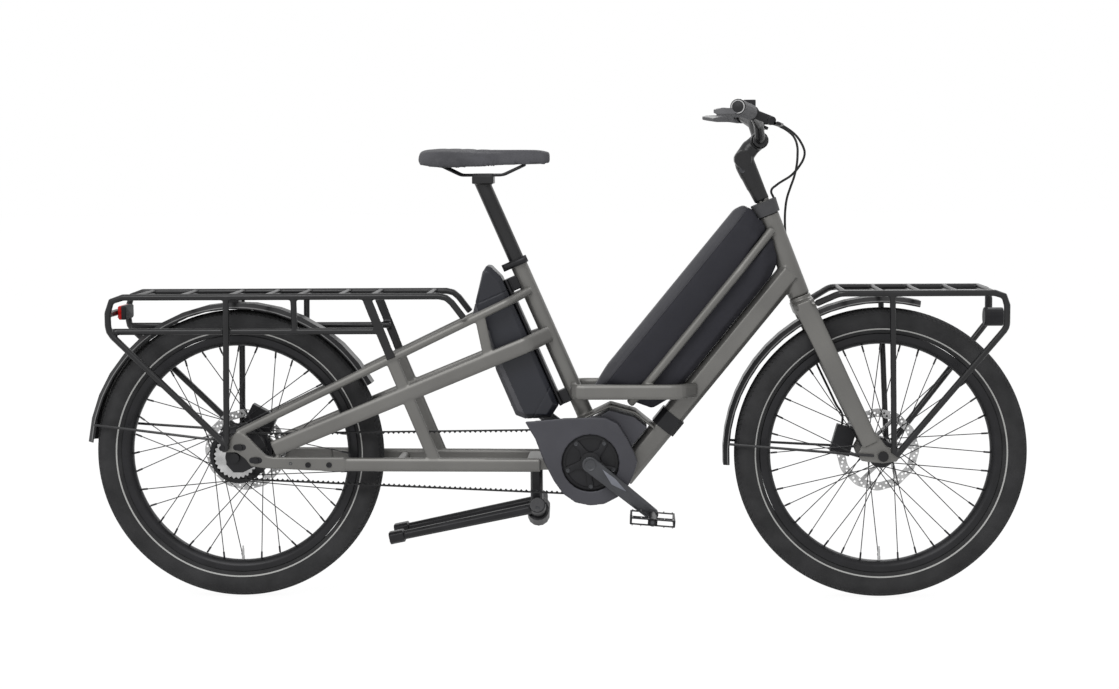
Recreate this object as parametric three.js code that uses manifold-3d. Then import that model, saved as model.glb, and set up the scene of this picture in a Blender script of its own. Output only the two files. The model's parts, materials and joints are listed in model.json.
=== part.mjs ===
// A longtail cargo bike with a mid motor, belt drive, front and rear racks, a frame bag and a centre stand.
// Millimetres: X runs forwards, Y to the rider's left and Z up. The pieces are laid out from the ground point
// under the rear axle, and the whole group is then moved so that its origin is the middle of its footprint.

import * as THREE from "three";
import { mergeVertices } from "three/addons/utils/BufferGeometryUtils.js";
import Module from "manifold-3d";

const wasm = await Module();
wasm.setup();

// Driving dimensions.
const WHEEL_RADIUS = 313.5;
const WHEELBASE = 1385;
const TYRE_WIDTH = 58;
const RIM_RADIUS = 258;
const RIM_DEPTH = 22.6;
const RIM_WIDTH = 34;
const CRANK_X = 763;
const CRANK_HEIGHT = 301;
const CRANK_LENGTH = 169;
const CRANK_ANGLE = -39 * (Math.PI / 180);
const HEAD_ANGLE = 68.8 * (Math.PI / 180);
const FORK_RAKE = 40;
const FORK_LENGTH = 369;
const HEAD_TUBE_LENGTH = 186;
const SEAT_ANGLE = 66.4 * (Math.PI / 180);
const DOWN_TUBE_ANGLE = 50.8 * (Math.PI / 180);
const STAY_SPREAD = 69;
const RACK_TUBE_RADIUS = 7.5;
const CROSS_TUBE_RADIUS = 6;
const BELT_PITCH = 11;
const BELT_LINE = -50;

// Clearances: between pieces that touch, round pieces that turn, and past the end of a cut.
const GAP = 0.3;
const RUNNING_GAP = 0.5;
const OVERRUN = 5;
const MERGE_DISTANCE = 0.0001;

// Sides of a round section, by how large it is, and pieces of a full turn on the wheels.
const SPOKE_SIDES = 3;
const CABLE_SIDES = 8;
const TUBE_SIDES = 10;
const ROUND_SIDES = 12;
const TURNED_SIDES = 16;
const WHEEL_SIDES = 36;
const BEND_STEPS = 3;

const RIGHT = -1;
const LEFT = 1;
const SIDEWAYS = new THREE.Vector3(0, 1, 0);
const UPWARDS = new THREE.Vector3(0, 0, 1);

const at = (x, y, z) => new THREE.Vector3(x, y, z);
const along = (from, to, share) => from.clone().lerp(to, share);

// The radius of a many-sided bore whose flats clear the corners of a round piece that turns in it.
const roundClear = (radius, sides) => (radius + GAP) / Math.cos(Math.PI / sides);

// Finishes, as the bare material of each piece.
const finish = (color, roughness, metalness = 0) =>
  new THREE.MeshStandardMaterial({ color, roughness, metalness });
const FRAME_GREY = finish(0x6a6a66, 0.5, 0.4);
const SATIN_BLACK = finish(0x1e1e20, 0.5);
const RUBBER = finish(0x2b2b2d, 0.9);
const SLATE_PLASTIC = finish(0x46464a, 0.6);
const BATTERY_BLUE = finish(0x2d2f38, 0.5);
const BAG_FABRIC = finish(0x161617, 0.95);
const STEEL = finish(0xb4b4b6, 0.3, 0.9);
const RED_LENS = finish(0xa01014, 0.2);
const CLEAR_LENS = finish(0xd8dadc, 0.15);
const SADDLE_SKIN = finish(0x38383a, 0.75);

// A closed solid from a geometry, and a geometry from a solid.
function solidOf(geometry) {
  const bare = geometry.clone();
  bare.deleteAttribute("normal");
  bare.deleteAttribute("uv");
  const merged = mergeVertices(bare, MERGE_DISTANCE);
  return new wasm.Manifold(
    new wasm.Mesh({
      numProp: 3,
      vertProperties: merged.getAttribute("position").array,
      triVerts: new Uint32Array(merged.index.array),
    }),
  );
}

function geometryOf(solid) {
  const mesh = solid.getMesh();
  const places = new Float32Array(mesh.vertProperties);
  const geometry = new THREE.BufferGeometry();
  geometry.setAttribute("position", new THREE.BufferAttribute(places, 3));
  geometry.setIndex(new THREE.BufferAttribute(new Uint32Array(mesh.triVerts), 1));
  geometry.computeVertexNormals();
  return geometry;
}

const weld = (...pieces) =>
  geometryOf(pieces.map(solidOf).reduce((whole, piece) => whole.add(piece)));

const cut = (piece, ...tools) =>
  geometryOf(tools.map(solidOf).reduce((rest, tool) => rest.subtract(tool), solidOf(piece)));

// A route that keeps a ring only at each of its own points, so a straight stretch costs two rings. Each ring
// can be wider or deeper than the one before it. A level route keeps its side from turning about it.
class Route extends THREE.Curve {
  constructor(points, side, widths, depths, level = false) {
    super();
    this.level = level;
    this.points = points;
    this.side = side;
    this.widths = widths;
    this.depths = depths;
  }

  getPoint(t) {
    return this.points[Math.round(t * (this.points.length - 1))].clone();
  }

  getSpacedPoints() {
    return this.points;
  }

  computeFrenetFrames() {
    const frames = { tangents: [], normals: [], binormals: [] };
    const last = this.points.length - 1;
    let side = this.side.clone();
    this.points.forEach((point, i) => {
      const back = point.clone().sub(this.points[Math.max(i - 1, 0)]).normalize();
      const ahead = this.points[Math.min(i + 1, last)].clone().sub(point).normalize();
      const tangent = back.add(ahead).normalize();
      if (this.level) side = this.side.clone();
      side = side.clone().addScaledVector(tangent, -side.dot(tangent)).normalize();
      const normal = side.clone().cross(tangent);
      frames.tangents.push(tangent);
      frames.normals.push(normal.multiplyScalar(this.widths[i]));
      frames.binormals.push(side.clone().multiplyScalar(this.depths[i]));
    });
    return frames;
  }
}

// Unit sections, which the sizes of each piece scale.
function roundSection(sides) {
  const corners = [];
  for (let i = 0; i < sides; i += 1) {
    const angle = ((i + 0.5) * 2 * Math.PI) / sides;
    corners.push(new THREE.Vector2(Math.cos(angle), Math.sin(angle)));
  }
  return new THREE.Shape(corners);
}

const CORNER_SHARE = 0.6;
const boxySection = () =>
  new THREE.Shape(
    [
      [1, -CORNER_SHARE],
      [1, CORNER_SHARE],
      [CORNER_SHARE, 1],
      [-CORNER_SHARE, 1],
      [-1, CORNER_SHARE],
      [-1, -CORNER_SHARE],
      [-CORNER_SHARE, -1],
      [CORNER_SHARE, -1],
    ].map(([x, y]) => new THREE.Vector2(x, y)),
  );

// A solid swept along a route: half widths lie across the route in its own plane, half depths along its side.
function sweep(points, section, widths, depths = widths, side = SIDEWAYS, level = false) {
  const perPoint = (value) => (Array.isArray(value) ? value : points.map(() => value));
  const extrudePath = new Route(points, side, perPoint(widths), perPoint(depths), level);
  return new THREE.ExtrudeGeometry(section, { steps: points.length - 1, extrudePath });
}

const rod = (from, to, radius, sides = TUBE_SIDES, side = SIDEWAYS) =>
  sweep([from, to], roundSection(sides), radius, radius, side);

const crossRod = (middle, halfLength, radius, sides = TUBE_SIDES) =>
  rod(
    middle.clone().addScaledVector(SIDEWAYS, -halfLength),
    middle.clone().addScaledVector(SIDEWAYS, halfLength),
    radius,
    sides,
    UPWARDS,
  );

// Corner points joined by straight stretches, with a round bend at each corner between the ends.
const BEND_REACH_SHARE = 1 / 2.1;
function bent(corners, radius, steps = BEND_STEPS) {
  const points = [corners[0].clone()];
  for (let i = 1; i < corners.length - 1; i += 1) {
    const corner = corners[i];
    const back = corners[i - 1].clone().sub(corner);
    const ahead = corners[i + 1].clone().sub(corner);
    const half = back.angleTo(ahead) / 2;
    const most = Math.min(back.length(), ahead.length()) * BEND_REACH_SHARE;
    const reach = Math.min(radius / Math.tan(half), most);
    const start = corner.clone().addScaledVector(back.normalize(), reach);
    const end = corner.clone().addScaledVector(ahead.normalize(), reach);
    const arc = new THREE.QuadraticBezierCurve3(start, corner, end);
    points.push(...arc.getPoints(steps));
  }
  points.push(corners[corners.length - 1].clone());
  return points;
}

// A flat plate in the side view, from one Y to another, with round or shaped holes.
function plate(outline, yFrom, yTo, holes = []) {
  const shape = new THREE.Shape(THREE.ShapeUtils.isClockWise(outline) ? outline.toReversed() : outline);
  shape.holes.push(...holes);
  const depth = Math.abs(yTo - yFrom);
  const geometry = new THREE.ExtrudeGeometry(shape, { depth, bevelEnabled: false });
  geometry.rotateX(Math.PI / 2);
  geometry.translate(0, Math.max(yFrom, yTo), 0);
  return geometry;
}

function circle(x, z, radius, sides = TURNED_SIDES) {
  const points = [];
  for (let i = 0; i < sides; i += 1) {
    const angle = (i * 2 * Math.PI) / sides;
    points.push(new THREE.Vector2(x + radius * Math.cos(angle), z + radius * Math.sin(angle)));
  }
  return points;
}

const hole = (points) => new THREE.Path(points);

// A round body about the Y axis from pairs of radius and Y, closed on itself or on the axis.
function turned(profile, sides, closed = true) {
  const points = profile.map(([radius, y]) => new THREE.Vector2(radius, y));
  if (closed) points.push(points[0].clone());
  return new THREE.LatheGeometry(points, sides);
}

const block = (middle, sizeX, sizeY, sizeZ) =>
  new THREE.BoxGeometry(sizeX, sizeY, sizeZ).translate(middle.x, middle.y, middle.z);

const bike = new THREE.Group();

function add(name, geometry, material, parent = bike) {
  const mesh = new THREE.Mesh(geometry, material);
  mesh.name = name;
  parent.add(mesh);
  return mesh;
}

// The named places that the pieces share.
const REAR_AXLE = at(0, 0, WHEEL_RADIUS);
const FRONT_AXLE = at(WHEELBASE, 0, WHEEL_RADIUS);
const CRANK = at(CRANK_X, 0, CRANK_HEIGHT);
const STEER_UP = at(-Math.cos(HEAD_ANGLE), 0, Math.sin(HEAD_ANGLE));
const STEER_AHEAD = at(Math.sin(HEAD_ANGLE), 0, Math.cos(HEAD_ANGLE));
const CROWN_RACE = FRONT_AXLE.clone()
  .addScaledVector(STEER_UP, FORK_LENGTH)
  .addScaledVector(STEER_AHEAD, -FORK_RAKE);
const SEAT_UP = at(-Math.cos(SEAT_ANGLE), 0, Math.sin(SEAT_ANGLE));
const SEAT_BACK = at(-Math.sin(SEAT_ANGLE), 0, -Math.cos(SEAT_ANGLE));
const DOWN_TUBE_UP = at(Math.cos(DOWN_TUBE_ANGLE), 0, Math.sin(DOWN_TUBE_ANGLE));
const DOWN_TUBE_OVER = at(-Math.sin(DOWN_TUBE_ANGLE), 0, Math.cos(DOWN_TUBE_ANGLE));

// A place on one of the three slanted axes: how far up it, how far across it, and to which side.
const place = (origin, up, across, upBy, acrossBy, y = 0) =>
  origin.clone().addScaledVector(up, upBy).addScaledVector(across, acrossBy).add(at(0, y, 0));
const onSteer = (up, ahead = 0, y = 0) => place(CROWN_RACE, STEER_UP, STEER_AHEAD, up, ahead, y);
const onDownTube = (up, over = 0, y = 0) =>
  place(CRANK, DOWN_TUBE_UP, DOWN_TUBE_OVER, up, over, y);

const flat = (point) => new THREE.Vector2(point.x, point.z);

// Wheels: the tyre, its rim, the hub laced with its spokes, and the brake disc.
const TYRE = { tread: 9, shoulderDrop: 7, shoulder: 21, bulgeShare: 0.55, bead: 15 };
const SPOKE = { count: 36, radius: 1.3, tangentShare: 0.92, lacing: 3, stagger: 1.6, rimSpread: 3 };
const DISC = { radius: 90, track: 17, thickness: 2, arms: 6, carrier: 30 };

function tyreOf(name) {
  const bulge = RIM_RADIUS + (WHEEL_RADIUS - RIM_RADIUS) * TYRE.bulgeShare;
  const half = [
    [RIM_RADIUS + GAP, TYRE.bead],
    [bulge, TYRE_WIDTH / 2],
    [WHEEL_RADIUS - TYRE.shoulderDrop, TYRE.shoulder],
    [WHEEL_RADIUS, TYRE.tread],
  ];
  const mirrored = half.map(([radius, y]) => [radius, -y]);
  return add(name, turned([...mirrored, ...half.toReversed()], WHEEL_SIDES), RUBBER);
}

const RIM_NOSE_SHARE = 1 / 6;

function rimOf(name) {
  const inner = RIM_RADIUS - RIM_DEPTH;
  const half = [
    [inner, RIM_WIDTH * RIM_NOSE_SHARE],
    [inner + RIM_DEPTH / 2, RIM_WIDTH / 2],
    [RIM_RADIUS, RIM_WIDTH / 2],
  ];
  const mirrored = half.map(([radius, y]) => [radius, -y]);
  return add(name, turned([...mirrored, ...half.toReversed()], WHEEL_SIDES), SATIN_BLACK);
}

// The hub is a hollow turned shell with a flange near each end, and each flange holds half of the spokes.
function hubOf(name, hub) {
  const shell = turned(
    [
      [hub.bore, -hub.face],
      [hub.end, -hub.face],
      [hub.end, -hub.flangeAt - hub.flange],
      [hub.flangeRadius, -hub.flangeAt - hub.flange],
      [hub.flangeRadius, -hub.flangeAt + hub.flange],
      [hub.body, -hub.flangeAt + hub.flange],
      [hub.body, hub.flangeAt - hub.flange],
      [hub.flangeRadius, hub.flangeAt - hub.flange],
      [hub.flangeRadius, hub.flangeAt + hub.flange],
      [hub.end, hub.flangeAt + hub.flange],
      [hub.end, hub.face],
      [hub.bore, hub.face],
    ],
    TURNED_SIDES,
  );
  const spokes = [];
  const reach = RIM_RADIUS - RIM_DEPTH - GAP * 2;
  for (let i = 0; i < SPOKE.count; i += 1) {
    const sideSign = i % 2 ? LEFT : RIGHT;
    const turnSign = i % 4 < 2 ? 1 : -1;
    const rimAngle = (i * 2 * Math.PI) / SPOKE.count;
    const hubAngle = rimAngle + turnSign * SPOKE.lacing * ((4 * Math.PI) / SPOKE.count);
    const hubRadius = hub.flangeRadius * SPOKE.tangentShare;
    const footY = sideSign * hub.flangeAt + turnSign * SPOKE.stagger;
    const headY = sideSign * SPOKE.rimSpread + turnSign * SPOKE.stagger;
    const foot = at(hubRadius * Math.cos(hubAngle), footY, hubRadius * Math.sin(hubAngle));
    const head = at(reach * Math.cos(rimAngle), headY, reach * Math.sin(rimAngle));
    spokes.push(rod(foot, head, SPOKE.radius, SPOKE_SIDES, SIDEWAYS));
  }
  return add(name, weld(shell, ...spokes), SATIN_BLACK);
}

function discOf(name, y, boreRadius) {
  const windows = [];
  const inner = DISC.radius - DISC.track;
  const arm = DISC.track / 2;
  for (let i = 0; i < DISC.arms; i += 1) {
    const middle = (i * 2 * Math.PI) / DISC.arms;
    const half = Math.PI / DISC.arms;
    const outerHalf = half - arm / inner;
    const innerHalf = half - arm / DISC.carrier;
    const corners = [];
    for (const share of [-1, 0, 1]) {
      const angle = middle + share * outerHalf;
      corners.push(new THREE.Vector2(inner * Math.cos(angle), inner * Math.sin(angle)));
    }
    for (const share of [1, -1]) {
      const angle = middle + share * innerHalf;
      corners.push(new THREE.Vector2(DISC.carrier * Math.cos(angle), DISC.carrier * Math.sin(angle)));
    }
    windows.push(hole(corners));
  }
  const bore = hole(circle(0, 0, boreRadius));
  const half = DISC.thickness / 2;
  const edge = circle(0, 0, DISC.radius, WHEEL_SIDES);
  return add(name, plate(edge, y - half, y + half, [...windows, bore]), STEEL);
}

const FRONT_HUB = {
  bore: 7.8,
  end: 14,
  body: 16,
  flangeRadius: 29,
  flange: 3,
  flangeAt: 27,
  face: 48,
  discAt: 41,
};
const REAR_HUB = {
  bore: 7.8,
  end: 22,
  body: 54,
  flangeRadius: 62,
  flange: 4,
  flangeAt: 30,
  face: 61.7,
  discAt: 51,
};

function wheelOf(side, hub, axle) {
  const pieces = [
    tyreOf(side + "_tyre"),
    rimOf(side + "_rim"),
    hubOf(side + "_hub_and_spokes", hub),
    discOf(side + "_brake_disc", hub.discAt, hub.end + GAP),
  ];
  pieces.forEach((piece) => piece.position.copy(axle));
}

wheelOf("front", FRONT_HUB, FRONT_AXLE);
wheelOf("rear", REAR_HUB, REAR_AXLE);

// Axles: a plain bar through each hub bore, with a wider head outside each frame end.
const AXLE = { radius: 7, headRadius: 11, headLength: 8 };

function axleOf(name, centre, halfSpan) {
  const bar = crossRod(centre, halfSpan + AXLE.headLength / 2, AXLE.radius, TUBE_SIDES);
  const heads = [RIGHT, LEFT].map((side) => {
    const middle = at(centre.x, side * (halfSpan + GAP + AXLE.headLength / 2), centre.z);
    return crossRod(middle, AXLE.headLength / 2, AXLE.headRadius, TUBE_SIDES);
  });
  return add(name, weld(bar, ...heads), SATIN_BLACK);
}

// Main frame: a bored head tube, a boxy down tube, the seat tube, and the cradle that holds the motor.
const HEAD_TUBE = { radius: 23, bore: 16, seat: 10, sides: 16 };
const DOWN_TUBE = { depth: 49, width: 54, lowerEdge: -102, meetsHeadAt: 65, foot: 12 };
const CRADLE = { wall: 8, width: 74, top: 145, corner: -8, slope: 119, slopeOver: 42, back: -92 };
const SEAT_TUBE = { radius: 18.5, bore: 17.3, footX: -10, footZ: 93, length: 371, sides: 14 };
const CHAIN_STAY = { depth: 29, width: 17, from: 190, to: 656, z: 298, dropToFront: 1 };
const YOKE = { x: -110, z: -4, length: 52, height: 24 };
const yokeHalfWidth = STAY_SPREAD - CHAIN_STAY.width / 2 - GAP;

const downTubeMiddle = DOWN_TUBE.lowerEdge + DOWN_TUBE.depth / 2;
const downTubeInner = DOWN_TUBE.lowerEdge + DOWN_TUBE.depth;
const SEAT_FOOT = CRANK.clone().add(at(SEAT_TUBE.footX, 0, SEAT_TUBE.footZ));
const onSeat = (up, back = 0, y = 0) => place(SEAT_FOOT, SEAT_UP, SEAT_BACK, up, back, y);

const CRADLE_KNEE_SHARES = [0.86, 0.62];
const CRADLE_ROUTE = [
  onDownTube(CRADLE.top - CRADLE.wall / 2, downTubeInner - CRADLE.wall),
  onDownTube(CRADLE.top - CRADLE.wall / 2, CRADLE.corner),
  onDownTube(CRADLE.slope, CRADLE.slopeOver),
  onSeat(0),
  CRANK.clone().add(at(CRADLE.back * CRADLE_KNEE_SHARES[0], 0, -CRADLE.back * CRADLE_KNEE_SHARES[1])),
  CRANK.clone().add(at(CRADLE.back, 0, 0)),
  CRANK.clone().add(at(CRADLE.back, 0, YOKE.z - YOKE.height / 2)),
];

function mainFrame() {
  const head = rod(
    onSteer(HEAD_TUBE.seat),
    onSteer(HEAD_TUBE.seat + HEAD_TUBE_LENGTH),
    HEAD_TUBE.radius,
    HEAD_TUBE.sides,
  );
  const downTube = sweep(
    [onDownTube(DOWN_TUBE.foot, downTubeMiddle), onSteer(DOWN_TUBE.meetsHeadAt)],
    boxySection(),
    DOWN_TUBE.depth / 2,
    DOWN_TUBE.width / 2,
  );
  const cradle = sweep(CRADLE_ROUTE, boxySection(), CRADLE.wall / 2, CRADLE.width / 2);
  const seatTube = rod(onSeat(0), onSeat(SEAT_TUBE.length), SEAT_TUBE.radius, SEAT_TUBE.sides);
  const yoke = block(
    CRANK.clone().add(at(YOKE.x, 0, YOKE.z)),
    YOKE.length,
    yokeHalfWidth * 2,
    YOKE.height,
  );
  const headBore = rod(
    onSteer(HEAD_TUBE.seat - OVERRUN),
    onSteer(HEAD_TUBE.seat + HEAD_TUBE_LENGTH + OVERRUN),
    HEAD_TUBE.bore,
    HEAD_TUBE.sides,
  );
  const seatBore = rod(
    onSeat(CRADLE.wall),
    onSeat(SEAT_TUBE.length + OVERRUN),
    SEAT_TUBE.bore,
    SEAT_TUBE.sides,
  );
  return cut(weld(head, downTube, cradle, seatTube, yoke), headBore, seatBore);
}
add("main_frame", mainFrame(), FRAME_GREY);

// Rear frame sides: a drilled end plate, a low chain stay, a deep sloping rail, a slim upper rail and two
// struts.
const END_PLATE = { inner: 68.3, thickness: 11, slotLength: 20, slotWidth: 8 };
const END_PLATE_SIZE = { length: 264, height: 88, originX: -26, originZ: 282 };
const END_PLATE_SHARES = [
  [0.0, 0.5],
  [0.03, 0.72],
  [0.12, 1.0],
  [0.2, 0.92],
  [0.36, 0.42],
  [0.42, 0.38],
  [1.0, 0.37],
  [1.0, 0.02],
  [0.34, 0.11],
  [0.235, 0.16],
  [0.19, 0.34],
  [0.12, 0.5],
];
const DEEP_RAIL = { depth: 34, width: 17, fromX: 84, fromZ: 332, seatUp: 196, curveBack: 44 };
const UPPER_RAIL = { radius: 9.5, fromX: 8, fromZ: 366, seatUp: 298, curveBack: 44 };
const LONG_STRUT = { width: 26, depth: 12, topX: 340, lowX: 434 };
const SHORT_STRUT = { width: 22, depth: 10, topX: 530, lowX: 549 };

const onRail = (rail, x) => {
  const foot = at(rail.fromX, 0, rail.fromZ);
  const head = onSeat(rail.seatUp);
  return along(foot, head, (x - foot.x) / (head.x - foot.x));
};

function rearFrame(side) {
  const sideways = (point, y = STAY_SPREAD) => at(point.x, side * y, point.z);
  const slot = (x, z) => {
    const half = END_PLATE.slotLength / 2;
    const end = END_PLATE.slotWidth / 2;
    return hole(
      [
        [x - half, z],
        [x - half + end, z + end],
        [x + half - end, z + end],
        [x + half, z],
        [x + half - end, z - end],
        [x - half + end, z - end],
      ].map(([a, b]) => new THREE.Vector2(a, b)),
    );
  };
  const outline = END_PLATE_SHARES.map(
    ([a, b]) =>
      new THREE.Vector2(
        END_PLATE_SIZE.originX + a * END_PLATE_SIZE.length,
        END_PLATE_SIZE.originZ + b * END_PLATE_SIZE.height,
      ),
  );
  const endPlate = plate(
    outline,
    side * END_PLATE.inner,
    side * (END_PLATE.inner + END_PLATE.thickness),
    BOLT_PLACES.map(([x, z]) => slot(x, z)),
  );
  const stay = sweep(
    [
      at(CHAIN_STAY.from, side * STAY_SPREAD, CHAIN_STAY.z + CHAIN_STAY.dropToFront),
      at(CHAIN_STAY.to, side * STAY_SPREAD, CHAIN_STAY.z - CHAIN_STAY.dropToFront),
    ],
    boxySection(),
    CHAIN_STAY.depth / 2,
    CHAIN_STAY.width / 2,
  );
  const railRoute = (rail) => {
    const foot = sideways(at(rail.fromX, 0, rail.fromZ));
    const head = onSeat(rail.seatUp);
    const bendPoint = sideways(onRail(rail, head.x - rail.curveBack));
    return bent([foot, bendPoint, at(head.x, side * SEAT_TUBE.radius, head.z)], rail.curveBack / 2);
  };
  const clearOfSeatTube = rod(
    onSeat(0),
    onSeat(SEAT_TUBE.length + OVERRUN),
    SEAT_TUBE.radius + GAP,
    SEAT_TUBE.sides,
  );
  const deep = sweep(
    railRoute(DEEP_RAIL),
    boxySection(),
    DEEP_RAIL.depth / 2,
    DEEP_RAIL.width / 2,
  );
  const upperPoints = railRoute(UPPER_RAIL);
  const upper = sweep(upperPoints, roundSection(TUBE_SIDES), UPPER_RAIL.radius);
  const strut = (spec, from, to) =>
    sweep([sideways(from), sideways(to)], boxySection(), spec.width / 2, spec.depth / 2);
  const long = strut(
    LONG_STRUT,
    onRail(UPPER_RAIL, LONG_STRUT.topX),
    at(LONG_STRUT.lowX, 0, CHAIN_STAY.z),
  );
  const short = strut(
    SHORT_STRUT,
    onRail(UPPER_RAIL, SHORT_STRUT.topX),
    onRail(DEEP_RAIL, SHORT_STRUT.lowX),
  );
  return cut(weld(endPlate, stay, deep, upper, long, short), clearOfSeatTube);
}

// Dark axle carriers lie inside the end plates, and slide along their slots to tension the belt.
const BOLT_PLACES = [
  [13, 337],
  [47, 309],
];
const CARRIER = { inner: 62, thickness: 6, bolt: 3.5, boltHead: 7, headHeight: 4, bore: 7.5 };
const CARRIER_SHARES = [
  [-0.55, 0.35],
  [-0.55, -0.45],
  [-0.1, -0.95],
  [0.5, -0.95],
  [1.7, -0.35],
  [1.9, 0.1],
  [0.9, 0.95],
  [0.1, 1.0],
];
const CARRIER_SIZE = 34;

function carrier(side) {
  const outline = CARRIER_SHARES.map(
    ([a, b]) =>
      new THREE.Vector2(REAR_AXLE.x + a * CARRIER_SIZE, REAR_AXLE.z + b * CARRIER_SIZE),
  );
  const inner = side * CARRIER.inner;
  const outer = side * (CARRIER.inner + CARRIER.thickness);
  const body = plate(outline, inner, outer, [hole(circle(REAR_AXLE.x, REAR_AXLE.z, CARRIER.bore, 12))]);
  const plateFace = END_PLATE.inner + END_PLATE.thickness + GAP;
  const bolts = BOLT_PLACES.flatMap(([x, z]) => [
    crossRod(
      at(x, (side * (CARRIER.inner + plateFace)) / 2, z),
      (plateFace - CARRIER.inner) / 2,
      CARRIER.bolt,
      8,
    ),
    crossRod(
      at(x, side * (plateFace + CARRIER.headHeight / 2), z),
      CARRIER.headHeight / 2,
      CARRIER.boltHead,
      8,
    ),
  ]);
  return weld(body, ...bolts);
}

for (const [name, side] of [["right", RIGHT], ["left", LEFT]]) {
  add(name + "_rear_frame", rearFrame(side), FRAME_GREY);
  add(name + "_axle_carrier", carrier(side), SATIN_BLACK);
}
axleOf("rear_axle", REAR_AXLE, CARRIER.inner + CARRIER.thickness);
// Side tubes: on each side a slim tube runs from the head tube to the cradle, and a flat brace ties the seat
// tube to the down tube. They cross in a cradle for the bag, so both are one welded piece on each side.
const SIDE_TUBE = {
  radius: 9.5,
  spread: 58,
  over: 12,
  headUp: 628,
  turnUp: 520,
  lowTurnUp: 215,
  footUp: 150,
};
const BRACE = { depth: 32, width: 16, spread: 66, z: 453, back: 728, front: 985, inset: 34 };

function slimRoute(side) {
  const y = side * SIDE_TUBE.spread;
  const headY = side * (HEAD_TUBE.radius + SIDE_TUBE.radius / 2);
  const footY = side * (CRADLE.width / 2 - SIDE_TUBE.radius);
  return bent(
    [
      onDownTube(SIDE_TUBE.headUp, SIDE_TUBE.over, headY),
      onDownTube(SIDE_TUBE.turnUp, SIDE_TUBE.over, y),
      onDownTube(SIDE_TUBE.lowTurnUp, SIDE_TUBE.over, y),
      onDownTube(SIDE_TUBE.footUp, SIDE_TUBE.over, footY),
    ],
    BRACE.inset * 2,
  );
}

function sideTubes(side) {
  const seatX = onSeat((BRACE.z - SEAT_FOOT.z) / Math.sin(SEAT_ANGLE)).x;
  const tubeUp = (BRACE.z - onDownTube(0, downTubeMiddle).z) / Math.sin(DOWN_TUBE_ANGLE);
  const tubeX = onDownTube(tubeUp, downTubeMiddle).x;
  const flatBrace = bent(
    [
      at(seatX, side * (SEAT_TUBE.radius + GAP), BRACE.z),
      at(BRACE.back, side * BRACE.spread, BRACE.z),
      at(BRACE.front - BRACE.inset, side * BRACE.spread, BRACE.z),
      at(tubeX, side * (DOWN_TUBE.width / 2 + GAP), BRACE.z),
    ],
    BRACE.inset,
  );
  const clearOfTube = sweep(
    [onDownTube(DOWN_TUBE.foot, downTubeMiddle), onSteer(DOWN_TUBE.meetsHeadAt)],
    boxySection(),
    DOWN_TUBE.depth / 2 + GAP,
    DOWN_TUBE.width / 2 + GAP,
  );
  const clearOfSeat = rod(onSeat(0), onSeat(SEAT_TUBE.length), SEAT_TUBE.radius + GAP, SEAT_TUBE.sides);
  const clearOfHead = rod(
    onSteer(0),
    onSteer(HEAD_TUBE_LENGTH + HEAD_TUBE.seat * 2),
    HEAD_TUBE.radius + GAP,
    HEAD_TUBE.sides,
  );
  const clearOfCradle = sweep(CRADLE_ROUTE, boxySection(), CRADLE.wall / 2 + GAP, CRADLE.width / 2 + GAP);
  const pieces = weld(
    sweep(slimRoute(side), roundSection(TUBE_SIDES), SIDE_TUBE.radius),
    sweep(flatBrace, boxySection(), BRACE.width / 2, BRACE.depth / 2, UPWARDS),
  );
  return cut(pieces, clearOfTube, clearOfSeat, clearOfHead, clearOfCradle);
}

// Motor: a bored housing that fills the cradle, flat where it meets the down tube.
const MOTOR = { halfWidth: 36, clearance: 4, bore: 10.3, capRadius: 29, capDepth: 5 };
const LOW_SIDE_SHARE = -0.5;
const MOTOR_SHARES = [
  [1.0, -0.55],
  [1.0, -0.1],
  [0.83, 0.29],
  [0.5, 0.4],
  [0.2, 0.56],
  [-0.24, 0.56],
  [-0.56, 0.2],
  [-0.52, -0.3],
  [-0.3, -0.55],
];

function motor() {
  const size = CRADLE.top - CRADLE.wall - MOTOR.clearance;
  const low = (downTubeInner + MOTOR.clearance) / (MOTOR_SHARES[0][1] * size);
  const outline = MOTOR_SHARES.map(([a, b]) =>
    flat(onDownTube(a * size, b < LOW_SIDE_SHARE ? b * size * low : b * size)),
  );
  const housing = plate(outline, -MOTOR.halfWidth, MOTOR.halfWidth);
  const caps = crossRod(CRANK, MOTOR.halfWidth + MOTOR.capDepth, MOTOR.capRadius, TURNED_SIDES);
  const bore = crossRod(CRANK, MOTOR.halfWidth * 2, MOTOR.bore, 12);
  return cut(weld(housing, caps), bore);
}

// Belt and its two toothed wheels. The belt is one closed loop: straight runs on the tangents, and an arc
// round each wheel, with a tooth in each notch of the wheels and evenly spaced teeth along the runs.
const FRONT_TEETH = 40;
const REAR_TEETH = 28;
const BELT = { width: 11, back: 2.2, toothHeight: 3.4, toothBase: 6.6, wheelWidth: 9 };
const NOTCH_SLACK = 0.9;
const LAND_DROP = 1.3;
const STRAIGHT_TEETH = 2;
const pitchRadius = (teeth) => (teeth * BELT_PITCH) / (2 * Math.PI);

const axleGap = new THREE.Vector2(CRANK_X, CRANK_HEIGHT - WHEEL_RADIUS);
const axleLine = axleGap.angle();
const tangentLean = Math.asin((pitchRadius(FRONT_TEETH) - pitchRadius(REAR_TEETH)) / axleGap.length());

// Where each toothed wheel holds belt teeth: steps of one tooth, counted evenly about the line of centres.
function heldAngles(teeth, middle, halfWrap) {
  const step = (2 * Math.PI) / teeth;
  const count = Math.floor((2 * halfWrap) / step);
  const first = middle - ((count - 1) * step) / 2;
  return Array.from({ length: count }, (_, i) => first + i * step);
}
const frontHeld = heldAngles(FRONT_TEETH, axleLine, Math.PI / 2 + tangentLean);
const rearHeld = heldAngles(REAR_TEETH, axleLine + Math.PI, Math.PI / 2 - tangentLean);

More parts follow.
